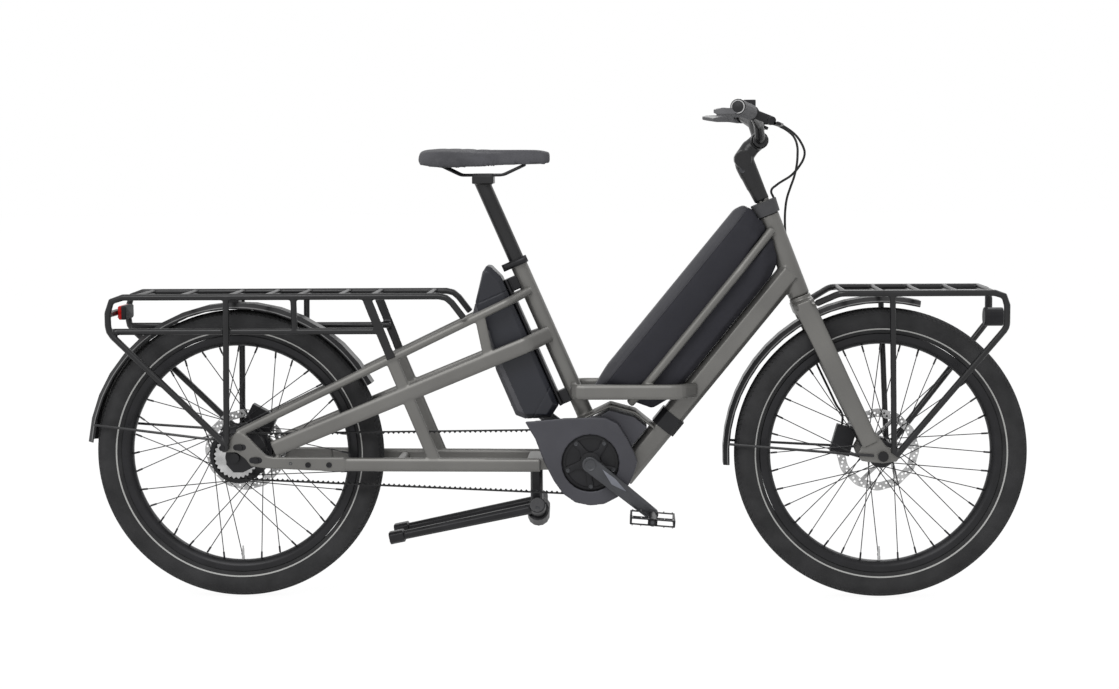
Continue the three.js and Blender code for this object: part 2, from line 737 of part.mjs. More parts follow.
const onWheel = (centre, angle, radius) =>
  new THREE.Vector2(centre.x + radius * Math.cos(angle), centre.z + radius * Math.sin(angle));

function toothMiddles() {
  const middles = [];
  const run = (fromPoint, toPoint, outwards) => {
    const length = fromPoint.distanceTo(toPoint);
    const count = Math.round(length / BELT_PITCH);
    for (let i = 1; i < count; i += 1) {
      middles.push({ point: fromPoint.clone().lerp(toPoint, i / count), outwards });
    }
  };
  const held = (centre, teeth, angles) =>
    angles.map((angle) => ({
      point: onWheel(centre, angle, pitchRadius(teeth)),
      outwards: onWheel(at(0, 0, 0), angle, 1),
    }));
  const front = held(CRANK, FRONT_TEETH, frontHeld);
  const rear = held(REAR_AXLE, REAR_TEETH, rearHeld);
  const normalOf = (from, to) => {
    const direction = to.clone().sub(from).normalize();
    return new THREE.Vector2(direction.y, -direction.x);
  };
  middles.push(...front);
  const topFrom = front[front.length - 1].point;
  const topTo = rear[0].point;
  run(topFrom, topTo, normalOf(topFrom, topTo));
  middles.push(...rear);
  const lowFrom = rear[rear.length - 1].point;
  const lowTo = front[0].point;
  run(lowFrom, lowTo, normalOf(lowFrom, lowTo));
  return middles;
}

function belt() {
  const middles = toothMiddles();
  const straight = (i) => {
    const before = middles[(i + middles.length - STRAIGHT_TEETH) % middles.length].outwards;
    const after = middles[(i + STRAIGHT_TEETH) % middles.length].outwards;
    return before.distanceTo(after) < MERGE_DISTANCE;
  };
  // The belt has teeth along its straight runs, and is plain where it lies round a wheel, so that the wheels
  // can turn.
  const inner = middles.flatMap(({ point, outwards }, i) => {
    if (!straight(i)) return [point];
    const forwards = new THREE.Vector2(-outwards.y, outwards.x);
    return [
      point.clone().addScaledVector(forwards, -BELT.toothBase / 2),
      point.clone().addScaledVector(outwards, -BELT.toothHeight),
      point.clone().addScaledVector(forwards, BELT.toothBase / 2),
    ];
  });
  const outer = middles
    .filter((_, i) => !straight(i))
    .map(({ point, outwards }) => point.clone().addScaledVector(outwards, BELT.back));
  const half = BELT.width / 2;
  return plate(outer, BELT_LINE - half, BELT_LINE + half, [hole(inner.toReversed())]);
}

function toothedOutline(teeth, firstNotch) {
  const radius = pitchRadius(teeth) - LAND_DROP;
  const step = (2 * Math.PI) / teeth;
  const halfMouth = (BELT.toothBase / 2 + NOTCH_SLACK) / radius;
  const outline = [];
  for (let i = 0; i < teeth; i += 1) {
    const notch = firstNotch + i * step;
    outline.push(onWheel(at(0, 0, 0), notch - halfMouth, radius));
    outline.push(onWheel(at(0, 0, 0), notch, radius - BELT.toothHeight - NOTCH_SLACK));
    outline.push(onWheel(at(0, 0, 0), notch + halfMouth, radius));
  }
  return outline;
}

const FRONT_WHEEL = { rim: 9, arms: 4, armWidth: 26, boss: 27, bore: 10.3, armDepthShare: 0.8 };

function frontSprocket() {
  const half = BELT.wheelWidth / 2;
  const inner = pitchRadius(FRONT_TEETH) - BELT.toothHeight - FRONT_WHEEL.rim;
  const ring = plate(toothedOutline(FRONT_TEETH, frontHeld[0]), BELT_LINE - half, BELT_LINE + half, [
    hole(circle(0, 0, inner, 24)),
  ]);
  const boss = plate(circle(0, 0, FRONT_WHEEL.boss), BELT_LINE - half, BELT_LINE + half);
  const arms = Array.from({ length: FRONT_WHEEL.arms }, (_, i) =>
    sweep(
      [at(FRONT_WHEEL.boss / 2, BELT_LINE, 0), at(inner + FRONT_WHEEL.rim / 2, BELT_LINE, 0)],
      boxySection(),
      FRONT_WHEEL.armWidth / 2,
      half * FRONT_WHEEL.armDepthShare,
    ).rotateY(CRANK_ANGLE + ((i + 0.5) * 2 * Math.PI) / FRONT_WHEEL.arms),
  );
  const bore = crossRod(at(0, BELT_LINE, 0), BELT.wheelWidth, FRONT_WHEEL.bore, 12);
  return cut(weld(ring, boss, ...arms), bore);
}

function rearSprocket() {
  const half = BELT.wheelWidth / 2;
  const edge = toothedOutline(REAR_TEETH, rearHeld[0]);
  return plate(edge, BELT_LINE - half, BELT_LINE + half, [
    hole(circle(0, 0, REAR_HUB.end + RUNNING_GAP, TURNED_SIDES)),
  ]);
}

add("motor", motor(), SLATE_PLASTIC);
add("belt", belt(), RUBBER);
const frontSprocketMesh = add("front_sprocket", frontSprocket(), SATIN_BLACK);
frontSprocketMesh.position.copy(CRANK);
const rearSprocketMesh = add("rear_sprocket", rearSprocket(), STEEL);
rearSprocketMesh.position.copy(REAR_AXLE);

// Cranks and pedals: the right arm carries the spindle, the left arm is bored for it.
const ARM = { inner: 80, thickness: 13, rootWidth: 34, tipWidth: 27, spindle: 9.8 };
const ARM_SIDES = 14;
const PEDAL = { length: 96, width: 92, thickness: 16, bar: 12, gap: 3, axle: 6, tilt: 0.08 };

function crankArm(side) {
  const angle = side === RIGHT ? CRANK_ANGLE : CRANK_ANGLE + Math.PI;
  const y = side * (ARM.inner + ARM.thickness / 2);
  const tip = at(CRANK.x + CRANK_LENGTH * Math.cos(angle), y, CRANK.z + CRANK_LENGTH * Math.sin(angle));
  const root = at(CRANK.x, y, CRANK.z);
  const halfThickness = ARM.thickness / 2;
  const bar = sweep([root, tip], boxySection(), [ARM.rootWidth / 2, ARM.tipWidth / 2], halfThickness);
  const rootBoss = crossRod(root, halfThickness, ARM.rootWidth / 2, ARM_SIDES);
  const tipBoss = crossRod(tip, halfThickness, ARM.tipWidth / 2, ARM_SIDES);
  const pedalEnd = side * (ARM.inner + ARM.thickness + PEDAL.gap + PEDAL.width);
  const pedalAxle = crossRod(
    at(tip.x, (y + pedalEnd) / 2, tip.z),
    Math.abs(pedalEnd - y) / 2,
    PEDAL.axle,
    TUBE_SIDES,
  );
  const spindleEnd = -side * (ARM.inner + ARM.thickness);
  const spindle = crossRod(
    at(CRANK.x, (y + spindleEnd) / 2, CRANK.z),
    Math.abs(spindleEnd - y) / 2,
    ARM.spindle,
    ROUND_SIDES,
  );
  if (side === RIGHT) return weld(bar, rootBoss, tipBoss, pedalAxle, spindle);
  const bore = crossRod(root, ARM.thickness, ARM.spindle + GAP, 12);
  return cut(weld(bar, rootBoss, tipBoss, pedalAxle), bore);
}

function pedal(side) {
  const angle = side === RIGHT ? CRANK_ANGLE : CRANK_ANGLE + Math.PI;
  const tip = at(CRANK.x + CRANK_LENGTH * Math.cos(angle), 0, CRANK.z + CRANK_LENGTH * Math.sin(angle));
  const y = side * (ARM.inner + ARM.thickness + PEDAL.gap + PEDAL.width / 2);
  const halfLength = PEDAL.length / 2;
  const cage = block(at(0, 0, 0), PEDAL.length, PEDAL.width, PEDAL.thickness);
  const opening = (sign) =>
    new THREE.BoxGeometry(
      halfLength - PEDAL.bar * 2 - PEDAL.axle,
      PEDAL.width - PEDAL.bar * 2,
      PEDAL.thickness + OVERRUN,
    ).translate((sign * (halfLength + PEDAL.axle)) / 2, 0, 0);
  const bore = crossRod(at(0, 0, 0), PEDAL.width, roundClear(PEDAL.axle, TUBE_SIDES), TUBE_SIDES);
  const body = cut(cage, opening(1), opening(-1), bore);
  body.rotateY(PEDAL.tilt);
  return body.translate(tip.x, y, tip.z);
}

for (const [name, side] of [["right", RIGHT], ["left", LEFT]]) {
  add(name + "_side_tubes", sideTubes(side), FRAME_GREY);
  add(name + "_crank", crankArm(side), SATIN_BLACK);
  add(name + "_pedal", pedal(side), SATIN_BLACK);
}

// Belt guard: a slate plate outside the front wheel of the belt, with a rim that reaches in to the motor.
const GUARD = { radius: 95, outer: -70, plate: 4, rim: 5, opening: 61, rimFrom: 2, rimTo: 10 };
const GUARD_SHARES = [
  [-1.47, 0.94],
  [-0.6, 1.02],
  [0.0, 1.04],
  [0.36, 1.02],
  [0.62, 0.89],
  [0.83, 0.56],
  [0.98, 0.24],
  [1.06, 0.02],
  [0.96, -0.3],
  [0.86, -0.5],
  [0.62, -0.77],
  [0.32, -0.93],
  [0.0, -0.97],
  [-0.34, -0.9],
  [-0.62, -0.7],
  [-0.83, -0.4],
  [-1.04, 0.02],
  [-1.24, 0.55],
];

function beltGuard() {
  const corner = ([a, b]) => new THREE.Vector2(CRANK.x + a * GUARD.radius, CRANK.z + b * GUARD.radius);
  const face = plate(GUARD_SHARES.map(corner), GUARD.outer, GUARD.outer + GUARD.plate, [
    hole(circle(CRANK.x, CRANK.z, GUARD.opening, 24)),
  ]);
  const rimPoints = GUARD_SHARES.slice(GUARD.rimFrom, GUARD.rimTo).map(corner);
  const inwards = (point) => {
    const toCrank = flat(CRANK).sub(point).normalize();
    return point.clone().addScaledVector(toCrank, GUARD.rim);
  };
  const rimOutline = [...rimPoints, ...rimPoints.toReversed().map(inwards)];
  const rim = plate(rimOutline, GUARD.outer, -CRADLE.width / 2 - GAP);
  return weld(face, rim);
}
add("belt_guard", beltGuard(), SLATE_PLASTIC);

// Down tube band: a dark sleeve that covers the joint between the tube and the motor casting.
const BAND = { from: 150, to: 188, wall: 3.5 };
add(
  "down_tube_band",
  cut(
    sweep(
      [onDownTube(BAND.from, downTubeMiddle), onDownTube(BAND.to, downTubeMiddle)],
      boxySection(),
      DOWN_TUBE.depth / 2 + BAND.wall,
      DOWN_TUBE.width / 2 + BAND.wall,
    ),
    sweep(
      [onDownTube(BAND.from - OVERRUN, downTubeMiddle), onDownTube(BAND.to + OVERRUN, downTubeMiddle)],
      boxySection(),
      DOWN_TUBE.depth / 2 + GAP,
      DOWN_TUBE.width / 2 + GAP,
    ),
  ),
  SATIN_BLACK,
);

// Frame bag: a soft block between the side tubes, drawn in at its long edges.
const BAG = { from: 110, pastHead: 1, over: 1.5, depth: 155, halfWidth: 44, edge: 24, coverClear: 31 };
const headTop = onSteer(HEAD_TUBE.seat + HEAD_TUBE_LENGTH);
const bagLength = headTop.clone().sub(CRANK).dot(DOWN_TUBE_UP) + BAG.pastHead - BAG.from;
const BAG_SHARES = [
  [0.085, 0.36],
  [0.11, 0.115],
  [0.2, 0.0],
  [0.82, 0.0],
  [0.9, 0.08],
  [0.955, 0.3],
  [0.985, 0.72],
  [0.965, 0.93],
  [0.93, 0.985],
  [0.13, 0.99],
  [0.02, 0.94],
];

function frameBag() {
  const middle = new THREE.Vector2(0.5, 0.5);
  const ring = (shrink) =>
    BAG_SHARES.map(([a, b]) => {
      const share = new THREE.Vector2(a, b).lerp(middle, shrink);
      return onDownTube(
        BAG.from + share.x * bagLength,
        downTubeInner + BAG.over + share.y * BAG.depth,
      );
    });
  const inset = BAG.edge / BAG.depth;
  const layers = [
    [inset, -BAG.halfWidth],
    [0.0, -BAG.halfWidth + BAG.edge],
    [0.0, BAG.halfWidth - BAG.edge],
    [inset, BAG.halfWidth],
  ];
  const body = loft(layers.map(([shrink, y]) => ring(shrink).map((point) => at(point.x, y, point.z))));
  const clear = BAG.over;
  const headTube = rod(
    onSteer(0),
    headTop.clone().addScaledVector(STEER_UP, BAG.edge),
    HEAD_TUBE.radius + clear,
    HEAD_TUBE.sides,
  );
  const tubes = [RIGHT, LEFT].map((side) =>
    sweep(slimRoute(side), roundSection(TUBE_SIDES), SIDE_TUBE.radius + clear),
  );
  const cover = rod(
    headTop.clone().addScaledVector(STEER_UP, -clear),
    headTop.clone().addScaledVector(STEER_UP, BAG.edge * 2),
    BAG.coverClear,
    HEAD_TUBE.sides,
  );
  return cut(body, headTube, cover, ...tubes);
}

// Positive where the faces point outwards.
function signedVolume(points, faces) {
  let volume = 0;
  for (let i = 0; i < faces.length; i += 3) {
    const [a, b, c] = [points[faces[i]], points[faces[i + 1]], points[faces[i + 2]]];
    volume += a.dot(b.clone().cross(c)) / 6;
  }
  return volume;
}

// A closed solid through rings of the same number of points, with flat ends.
function loft(rings) {
  const count = rings[0].length;
  const places = rings.flat().flatMap((point) => [point.x, point.y, point.z]);
  const faces = [];
  for (let r = 0; r < rings.length - 1; r += 1) {
    for (let i = 0; i < count; i += 1) {
      const a = r * count + i;
      const b = r * count + ((i + 1) % count);
      faces.push(a, b, b + count, a, b + count, a + count);
    }
  }
  const cap = (points, first, flip) => {
    const origin = points[0];
    const u = points[1].clone().sub(origin).normalize();
    const n = u.clone().cross(points[2].clone().sub(origin)).normalize();
    const v = n.cross(u);
    const shape = points.map((point) => {
      const offset = point.clone().sub(origin);
      return new THREE.Vector2(offset.dot(u), offset.dot(v));
    });
    for (const [a, b, c] of THREE.ShapeUtils.triangulateShape(shape, [])) {
      faces.push(...(flip ? [first + c, first + b, first + a] : [first + a, first + b, first + c]));
    }
  };
  cap(rings[0], 0, true);
  cap(rings[rings.length - 1], (rings.length - 1) * count, false);
  if (signedVolume(rings.flat(), faces) < 0) faces.reverse();
  const geometry = new THREE.BufferGeometry();
  geometry.setAttribute("position", new THREE.Float32BufferAttribute(places, 3));
  geometry.setIndex(faces);
  geometry.computeVertexNormals();
  return geometry;
}
add("frame_bag", frameBag(), BAG_FABRIC);

// Battery: a faceted case behind the seat tube, on a long bracket that clips to the tube at both ends.
const BATTERY = { low: 30, length: 354, near: 43, depth: 96, halfWidth: 40, edge: 10 };
const BATTERY_SHARES = [
  [0.0, 0.28],
  [0.05, 0.0],
  [0.9, 0.0],
  [0.985, 0.12],
  [1.0, 0.2],
  [0.975, 0.34],
  [0.74, 1.0],
  [0.64, 0.78],
  [0.4, 0.96],
  [0.1, 0.97],
  [0.055, 0.8],
];
const BRACKET = { from: 44, to: 340, thickness: 9, halfWidth: 22, clip: 26, clipHeight: 30 };

function battery() {
  const ring = (inset) =>
    BATTERY_SHARES.map(([up, back]) => {
      const upBy = BATTERY.low + inset + up * (BATTERY.length - inset * 2);
      const backBy = BATTERY.near + inset + back * (BATTERY.depth - inset * 2);
      return [upBy, backBy];
    });
  const layers = [
    [BATTERY.edge, -BATTERY.halfWidth],
    [0, -BATTERY.halfWidth + BATTERY.edge],
    [0, BATTERY.halfWidth - BATTERY.edge],
    [BATTERY.edge, BATTERY.halfWidth],
  ];
  return loft(layers.map(([inset, y]) => ring(inset).map(([up, back]) => onSeat(up, back, y))));
}

function batteryBracket() {
  const back = BATTERY.near - GAP - BRACKET.thickness / 2;
  const spine = sweep(
    [onSeat(BRACKET.from, back), onSeat(BRACKET.to, back)],
    boxySection(),
    BRACKET.thickness / 2,
    BRACKET.halfWidth,
  );
  const clips = [BRACKET.from, BRACKET.to - BRACKET.clipHeight].map((up) =>
    sweep(
      [onSeat(up, back / 2), onSeat(up + BRACKET.clipHeight, back / 2)],
      boxySection(),
      back / 2,
      BRACKET.clip / 2,
    ),
  );
  const seatTube = rod(onSeat(0), onSeat(SEAT_TUBE.length), SEAT_TUBE.radius + GAP, SEAT_TUBE.sides);
  return cut(weld(spine, ...clips), seatTube);
}
add("battery", battery(), BATTERY_BLUE);
add("battery_bracket", batteryBracket(), SATIN_BLACK);

// Seat post and saddle: the post slides in the seat tube, and its head clamps the two rails of the saddle.
const POST = { radius: 16.8, top: 553, insert: 190 };
const CLAMP = { length: 46, halfWidth: 27, height: 22, ahead: 4 };
const RAIL = {
  radius: 3.5,
  spread: 22,
  rearSpread: 33,
  noseSpread: 6.6,
  frontX: 92,
  rearX: -72,
  lowZ: 13,
  frontZ: 34,
};
const SADDLE = { length: 278, rear: -131, width: 172, thickness: 30, crown: 14, skirtShare: 0.7 };

const POST_TOP = onSeat(POST.top);

function seatPost() {
  const tube = rod(onSeat(POST.insert), POST_TOP, POST.radius, SEAT_TUBE.sides);
  const clampMiddle = POST_TOP.clone().add(at(CLAMP.ahead, 0, CLAMP.height / 4));
  const clamp = block(clampMiddle, CLAMP.length, CLAMP.halfWidth * 2, CLAMP.height);
  const grooves = [RIGHT, LEFT].map((side) => rod(
    POST_TOP.clone().add(at(-CLAMP.length, side * RAIL.spread, RAIL.lowZ)),
    POST_TOP.clone().add(at(CLAMP.length, side * RAIL.spread, RAIL.lowZ)),
    RAIL.radius + GAP,
    8,
  ));
  return cut(weld(tube, clamp), ...grooves);
}

function saddleRails() {
  const railOf = (side) =>
    bent(
      [
        POST_TOP.clone().add(at(RAIL.rearX - RAIL.lowZ, side * RAIL.rearSpread, RAIL.frontZ)),
        POST_TOP.clone().add(at(RAIL.rearX / 1.7, side * RAIL.spread, RAIL.lowZ)),
        POST_TOP.clone().add(at(RAIL.frontX / 2, side * RAIL.spread, RAIL.lowZ)),
        POST_TOP.clone().add(at(RAIL.frontX, side * RAIL.noseSpread, RAIL.frontZ)),
      ],
      RAIL.spread,
      2,
    );
  const round = roundSection(6);
  const front = POST_TOP.clone().add(at(RAIL.frontX, 0, RAIL.frontZ));
  const rear = POST_TOP.clone().add(at(RAIL.rearX - RAIL.lowZ, 0, RAIL.frontZ));
  return weld(
    sweep(railOf(RIGHT), round, RAIL.radius),
    sweep(railOf(LEFT), round, RAIL.radius),
    crossRod(front, RAIL.noseSpread + RAIL.radius, RAIL.radius, 6),
    crossRod(rear, RAIL.rearSpread + RAIL.radius, RAIL.radius, 6),
  );
}

// The saddle is a loft of cross sections from its tail to its nose: half width, height of the top, and hang
// of the sides.
const SADDLE_RIBS = [
  { share: 0.0, width: 0.62, top: 0.62, hang: 0.35 },
  { share: 0.05, width: 0.86, top: 0.86, hang: 0.62 },
  { share: 0.16, width: 1.0, top: 1.0, hang: 0.95 },
  { share: 0.32, width: 0.9, top: 0.98, hang: 1.0 },
  { share: 0.47, width: 0.56, top: 0.86, hang: 0.8 },
  { share: 0.62, width: 0.34, top: 0.78, hang: 0.62 },
  { share: 0.82, width: 0.25, top: 0.78, hang: 0.52 },
  { share: 0.96, width: 0.21, top: 0.74, hang: 0.46 },
  { share: 1.0, width: 0.12, top: 0.62, hang: 0.4 },
];
const SADDLE_SECTION = [
  [0.0, 1.0],
  [0.45, 0.97],
  [0.8, 0.8],
  [0.98, 0.45],
  [1.0, 0.05],
  [0.8, 0.0],
  [0.6, 0.0],
  [0.0, 0.0],
];

function saddle() {
  const low = RAIL.frontZ + RAIL.radius + GAP;
  const rings = SADDLE_RIBS.map((rib) => {
    const x = SADDLE.rear + rib.share * SADDLE.length;
    const halfWidth = (rib.width * SADDLE.width) / 2;
    const top = low + SADDLE.crown + rib.top * (SADDLE.thickness - SADDLE.crown);
    const right = SADDLE_SECTION.map(([a, b]) => {
      const skirt = Math.max(0, (a - SADDLE.skirtShare) / (1 - SADDLE.skirtShare));
      const bottom = low - rib.hang * SADDLE.crown * skirt;
      const z = bottom + (top - bottom) * b;
      return POST_TOP.clone().add(at(x, -a * halfWidth, z));
    });
    const left = right.slice(1, -1).toReversed().map((point) => at(point.x, -point.y, point.z));
    return [...right, ...left];
  });
  return loft(rings);
}
add("seat_post", seatPost(), SATIN_BLACK);
add("saddle_rails", saddleRails(), SATIN_BLACK);
add("saddle", saddle(), SADDLE_SKIN);

// Seat collar round the top of the seat tube, with the lever that clamps it.
const COLLAR = { height: 15, wall: 4, ear: 12, earWidth: 24 };
const LEVER = { back: 6, reach: 50, width: 9, depth: 6, tipBow: 2 };

function seatCollar() {
  const outside = SEAT_TUBE.radius + COLLAR.wall;
  const [bottom, top] = [SEAT_TUBE.length - COLLAR.height, SEAT_TUBE.length];
  const ring = rod(onSeat(bottom), onSeat(top), outside, SEAT_TUBE.sides);
  const ear = sweep(
    [onSeat(bottom, outside + COLLAR.ear / 2 - OVERRUN), onSeat(top, outside + COLLAR.ear / 2 - OVERRUN)],
    boxySection(),
    COLLAR.ear / 2 + OVERRUN,
    COLLAR.earWidth / 2,
  );
  const bore = rod(
    onSeat(bottom - OVERRUN),
    onSeat(top + OVERRUN),
    SEAT_TUBE.radius + GAP,
    SEAT_TUBE.sides,
  );
  return cut(weld(ring, ear), bore);
}

// The lever turns about the clamp bolt behind the collar, and lies forwards along its right side when shut.
const leverUp = SEAT_TUBE.length - COLLAR.height / 2;
const leverEyeY = -COLLAR.earWidth / 2 - GAP - LEVER.depth / 2;
const leverBladeY = -SEAT_TUBE.radius - COLLAR.wall - RUNNING_GAP * 2 - LEVER.depth / 2;
const LEVER_PIVOT = onSeat(leverUp, SEAT_TUBE.radius + COLLAR.wall + LEVER.back, leverEyeY);

function collarLever() {
  const eye = rod(
    LEVER_PIVOT.clone().addScaledVector(SEAT_UP, -LEVER.width / 2),
    LEVER_PIVOT.clone().addScaledVector(SEAT_UP, LEVER.width / 2),
    LEVER.depth / 2,
    8,
  );
  const blade = sweep(
    [
      LEVER_PIVOT,
      onSeat(leverUp, LEVER.back / 2, leverBladeY),
      onSeat(leverUp, -SEAT_TUBE.radius, leverBladeY - LEVER.tipBow),
      onSeat(leverUp, SEAT_TUBE.radius + COLLAR.wall + LEVER.back - LEVER.reach, leverBladeY),
    ],
    boxySection(),
    LEVER.depth / 2,
    LEVER.width / 2,
    SEAT_UP,
  );
  return weld(eye, blade);
}
add("seat_collar", seatCollar(), SATIN_BLACK);
add("collar_lever", collarLever(), SATIN_BLACK);

// Centre stand: a post under the yoke with a cross housing, and two legs that lie back along the bike when
// folded.
const STAND = { postX: -118, postWidth: 26, postDepth: 44, housingX: -114, housingZ: -99 };
const standTop = YOKE.z - YOKE.height / 2 - GAP;
const HOUSING_RADIUS = 24;
const LEG = {
  radius: 12,
  lowRadius: 10,
  eye: 18,
  eyeWidth: 30,
  footWidth: 34,
  footHeight: 26,
  footLength: 16,
};
const LEG_FOLDED = { back: 304, drop: 64 };
const LEG_OUT = 46;
const STAND_HUB = CRANK.clone().add(at(STAND.housingX, 0, STAND.housingZ));
// Each leg turns about an axis that leans outwards and up, so that it comes down splayed.
const STAND_LEAN = 30 * (Math.PI / 180);
const legAxis = (side) => at(0, side * Math.cos(STAND_LEAN), Math.sin(STAND_LEAN));
const legPivot = (side) => STAND_HUB.clone().add(at(0, side * LEG_OUT, 0));

function standMount() {
  const postTop = CRANK.clone().add(at(STAND.postX, 0, standTop));
  const post = sweep(
    [postTop, at(postTop.x, 0, STAND_HUB.z - LEG_OUT * Math.tan(STAND_LEAN))],
    boxySection(),
    STAND.postWidth / 2,
    STAND.postDepth / 2,
  );
  const housings = [RIGHT, LEFT].map((side) => {
    const face = legPivot(side).addScaledVector(legAxis(side), -LEG.eyeWidth / 2 - GAP);
    const inner = legPivot(side).addScaledVector(legAxis(side), -LEG_OUT / Math.cos(STAND_LEAN));
    return rod(inner, face, HOUSING_RADIUS, 14);
  });
  return weld(post, ...housings);
}

function standLeg(side) {
  const pivot = legPivot(side);
  const foot = pivot.clone().add(at(-LEG_FOLDED.back, 0, -LEG_FOLDED.drop));
  const eye = rod(
    pivot.clone().addScaledVector(legAxis(side), -LEG.eyeWidth / 2),
    pivot.clone().addScaledVector(legAxis(side), LEG.eyeWidth / 2),
    LEG.eye,
    14,
  );
  const leg = sweep([pivot, foot], roundSection(8), [LEG.radius, LEG.lowRadius]);
  const backwards = foot.clone().sub(pivot).normalize();
  const shoe = sweep(
    [
      foot.clone().addScaledVector(backwards, -LEG.footLength),
      foot.clone().addScaledVector(backwards, LEG.footLength),
    ],
    boxySection(),
    LEG.footHeight / 2,
    LEG.footWidth / 2,
  );
  return weld(eye, leg, shoe);
}
add("stand_mount", standMount(), SATIN_BLACK);

// Rear rack: each side is one long bent tube, from the dropout up round the tail and along the deck to the
// frame.
const REAR_RACK = {
  deckZ: 660,
  lowZ: 586,
  tailX: -262,
  spread: 86,
  lowSpread: 78,
  frontX: 462,
  bend: 34,
  footX: -17,
  footZ: 346,
  endX: 497,
  endZ: 614,
};
const rackFootY = END_PLATE.inner + END_PLATE.thickness + GAP + RACK_TUBE_RADIUS;
const rackEndY = STAY_SPREAD + UPPER_RAIL.radius + GAP + RACK_TUBE_RADIUS;
const CROSS_TUBES = [-205, -110, -6, 73, 142, 229, 300, 418];
const RACK_POSTS = {
  rearX: -8,
  midX: 136,
  bracketTop: 290,
  bracketLow: 342,
  bracketWidth: 20,
  bracketDepth: 5,
  bossRadius: 9.8,
};

function rearRack() {
  const round = roundSection(8);
  const pieces = [];
  for (const side of [RIGHT, LEFT]) {
    const y = side * REAR_RACK.spread;
    const lowY = side * REAR_RACK.lowSpread;
    const main = bent(
      [
        at(REAR_RACK.footX, side * rackFootY, REAR_RACK.footZ),
        at(REAR_RACK.tailX, y, REAR_RACK.lowZ),
        at(REAR_RACK.tailX, y, REAR_RACK.deckZ),
        at(REAR_RACK.frontX, y, REAR_RACK.deckZ),
        at(REAR_RACK.endX, side * rackEndY, REAR_RACK.endZ),
      ],
      REAR_RACK.bend,
      2,
    );
    const lowRail = [
      at(REAR_RACK.tailX + REAR_RACK.bend / 4, lowY, REAR_RACK.lowZ),
      at(RACK_POSTS.bracketLow - RACK_POSTS.bracketWidth, lowY, REAR_RACK.lowZ),
    ];
    const rearPost = [
      at(RACK_POSTS.rearX, y, REAR_RACK.deckZ),
      at(REAR_RACK.footX + RACK_TUBE_RADIUS / 2, side * rackFootY, REAR_RACK.footZ),
    ];
    const midPost = [
      at(RACK_POSTS.midX, y, REAR_RACK.deckZ),
      at(RACK_POSTS.midX, lowY, REAR_RACK.lowZ),
    ];
    const railTop = onRail(UPPER_RAIL, RACK_POSTS.bracketLow);
    const bracketY = STAY_SPREAD + UPPER_RAIL.radius + GAP + RACK_POSTS.bracketDepth / 2;
    const bracketFoot = at(RACK_POSTS.bracketLow, side * bracketY, railTop.z);
    const bracket = [at(RACK_POSTS.bracketTop, y, REAR_RACK.deckZ), bracketFoot];
    pieces.push(sweep(main, round, RACK_TUBE_RADIUS));
    pieces.push(sweep(lowRail, round, RACK_TUBE_RADIUS));
    pieces.push(sweep(rearPost, roundSection(6), RACK_TUBE_RADIUS));
    pieces.push(sweep(midPost, roundSection(6), RACK_TUBE_RADIUS));
    pieces.push(sweep(bracket, boxySection(), RACK_POSTS.bracketWidth / 2, RACK_POSTS.bracketDepth / 2));
    pieces.push(
      crossRod(
        at(REAR_RACK.footX, side * rackFootY, REAR_RACK.footZ - RACK_TUBE_RADIUS),
        RACK_TUBE_RADIUS,
        RACK_POSTS.bossRadius,
        10,
      ),
    );
  }
  for (const x of CROSS_TUBES) {
    pieces.push(crossRod(at(x, 0, REAR_RACK.deckZ), REAR_RACK.spread, CROSS_TUBE_RADIUS, 6));
  }
  const tail = at(REAR_RACK.tailX, 0, (REAR_RACK.deckZ + REAR_RACK.lowZ) / 2);
  pieces.push(crossRod(tail, REAR_RACK.spread, RACK_TUBE_RADIUS, 8));
  return weld(...pieces);
}
add("rear_rack", rearRack(), SATIN_BLACK);

// Tail lamp on the cross tube at the back of the rack.
const TAIL_LAMP = { length: 18, width: 70, height: 30 };
const tailLampX = REAR_RACK.tailX + RACK_TUBE_RADIUS + GAP + TAIL_LAMP.length / 2;
const tailLampZ = (REAR_RACK.deckZ + REAR_RACK.lowZ) / 2;
add(
  "tail_lamp",
  block(at(tailLampX, 0, tailLampZ), TAIL_LAMP.length, TAIL_LAMP.width, TAIL_LAMP.height),
  RED_LENS,
);

// Fenders: a thin shell that is rolled across its width, with a wire stay on each side down to the axle ends.
const FENDER = { wall: 2.2, halfWidth: 33, roll: 11, steps: 16, stay: 3 };

function fenderShell(centre, radius, fromAngle, toAngle) {
  const section = [
    [0, FENDER.halfWidth - FENDER.roll],
    [-FENDER.roll, FENDER.halfWidth],
    [-FENDER.roll - FENDER.wall, FENDER.halfWidth - FENDER.wall],
    [-FENDER.wall, FENDER.halfWidth - FENDER.roll - FENDER.wall],
  ];
  const whole = [...section, ...section.toReversed().map(([lift, y]) => [lift, -y])];
  const rings = [];
  for (let i = 0; i <= FENDER.steps; i += 1) {
    const angle = fromAngle + ((toAngle - fromAngle) * i) / FENDER.steps;
    rings.push(
      whole.map(([lift, y]) =>
        at(centre.x + (radius + lift) * Math.cos(angle), y, centre.z + (radius + lift) * Math.sin(angle)),
      ),
    );
  }
  return loft(rings);
}

const REAR_FENDER = { clear: 16.5, kneeX: -66, footX: -38, footUp: 40 };
const FRONT_FENDER = { clear: 24.5, kneeX: -58, footX: -20, footUp: 2 };
const REAR_FENDER_DEGREES = { from: 28, to: 175, stay: 168 };
const FRONT_FENDER_DEGREES = { from: 76, to: 184, stay: 176 };
const fenderRadius = (spec) => WHEEL_RADIUS + spec.clear;
const FENDER_BRACKET_X = -6;
const degrees = (value) => (value * Math.PI) / 180;

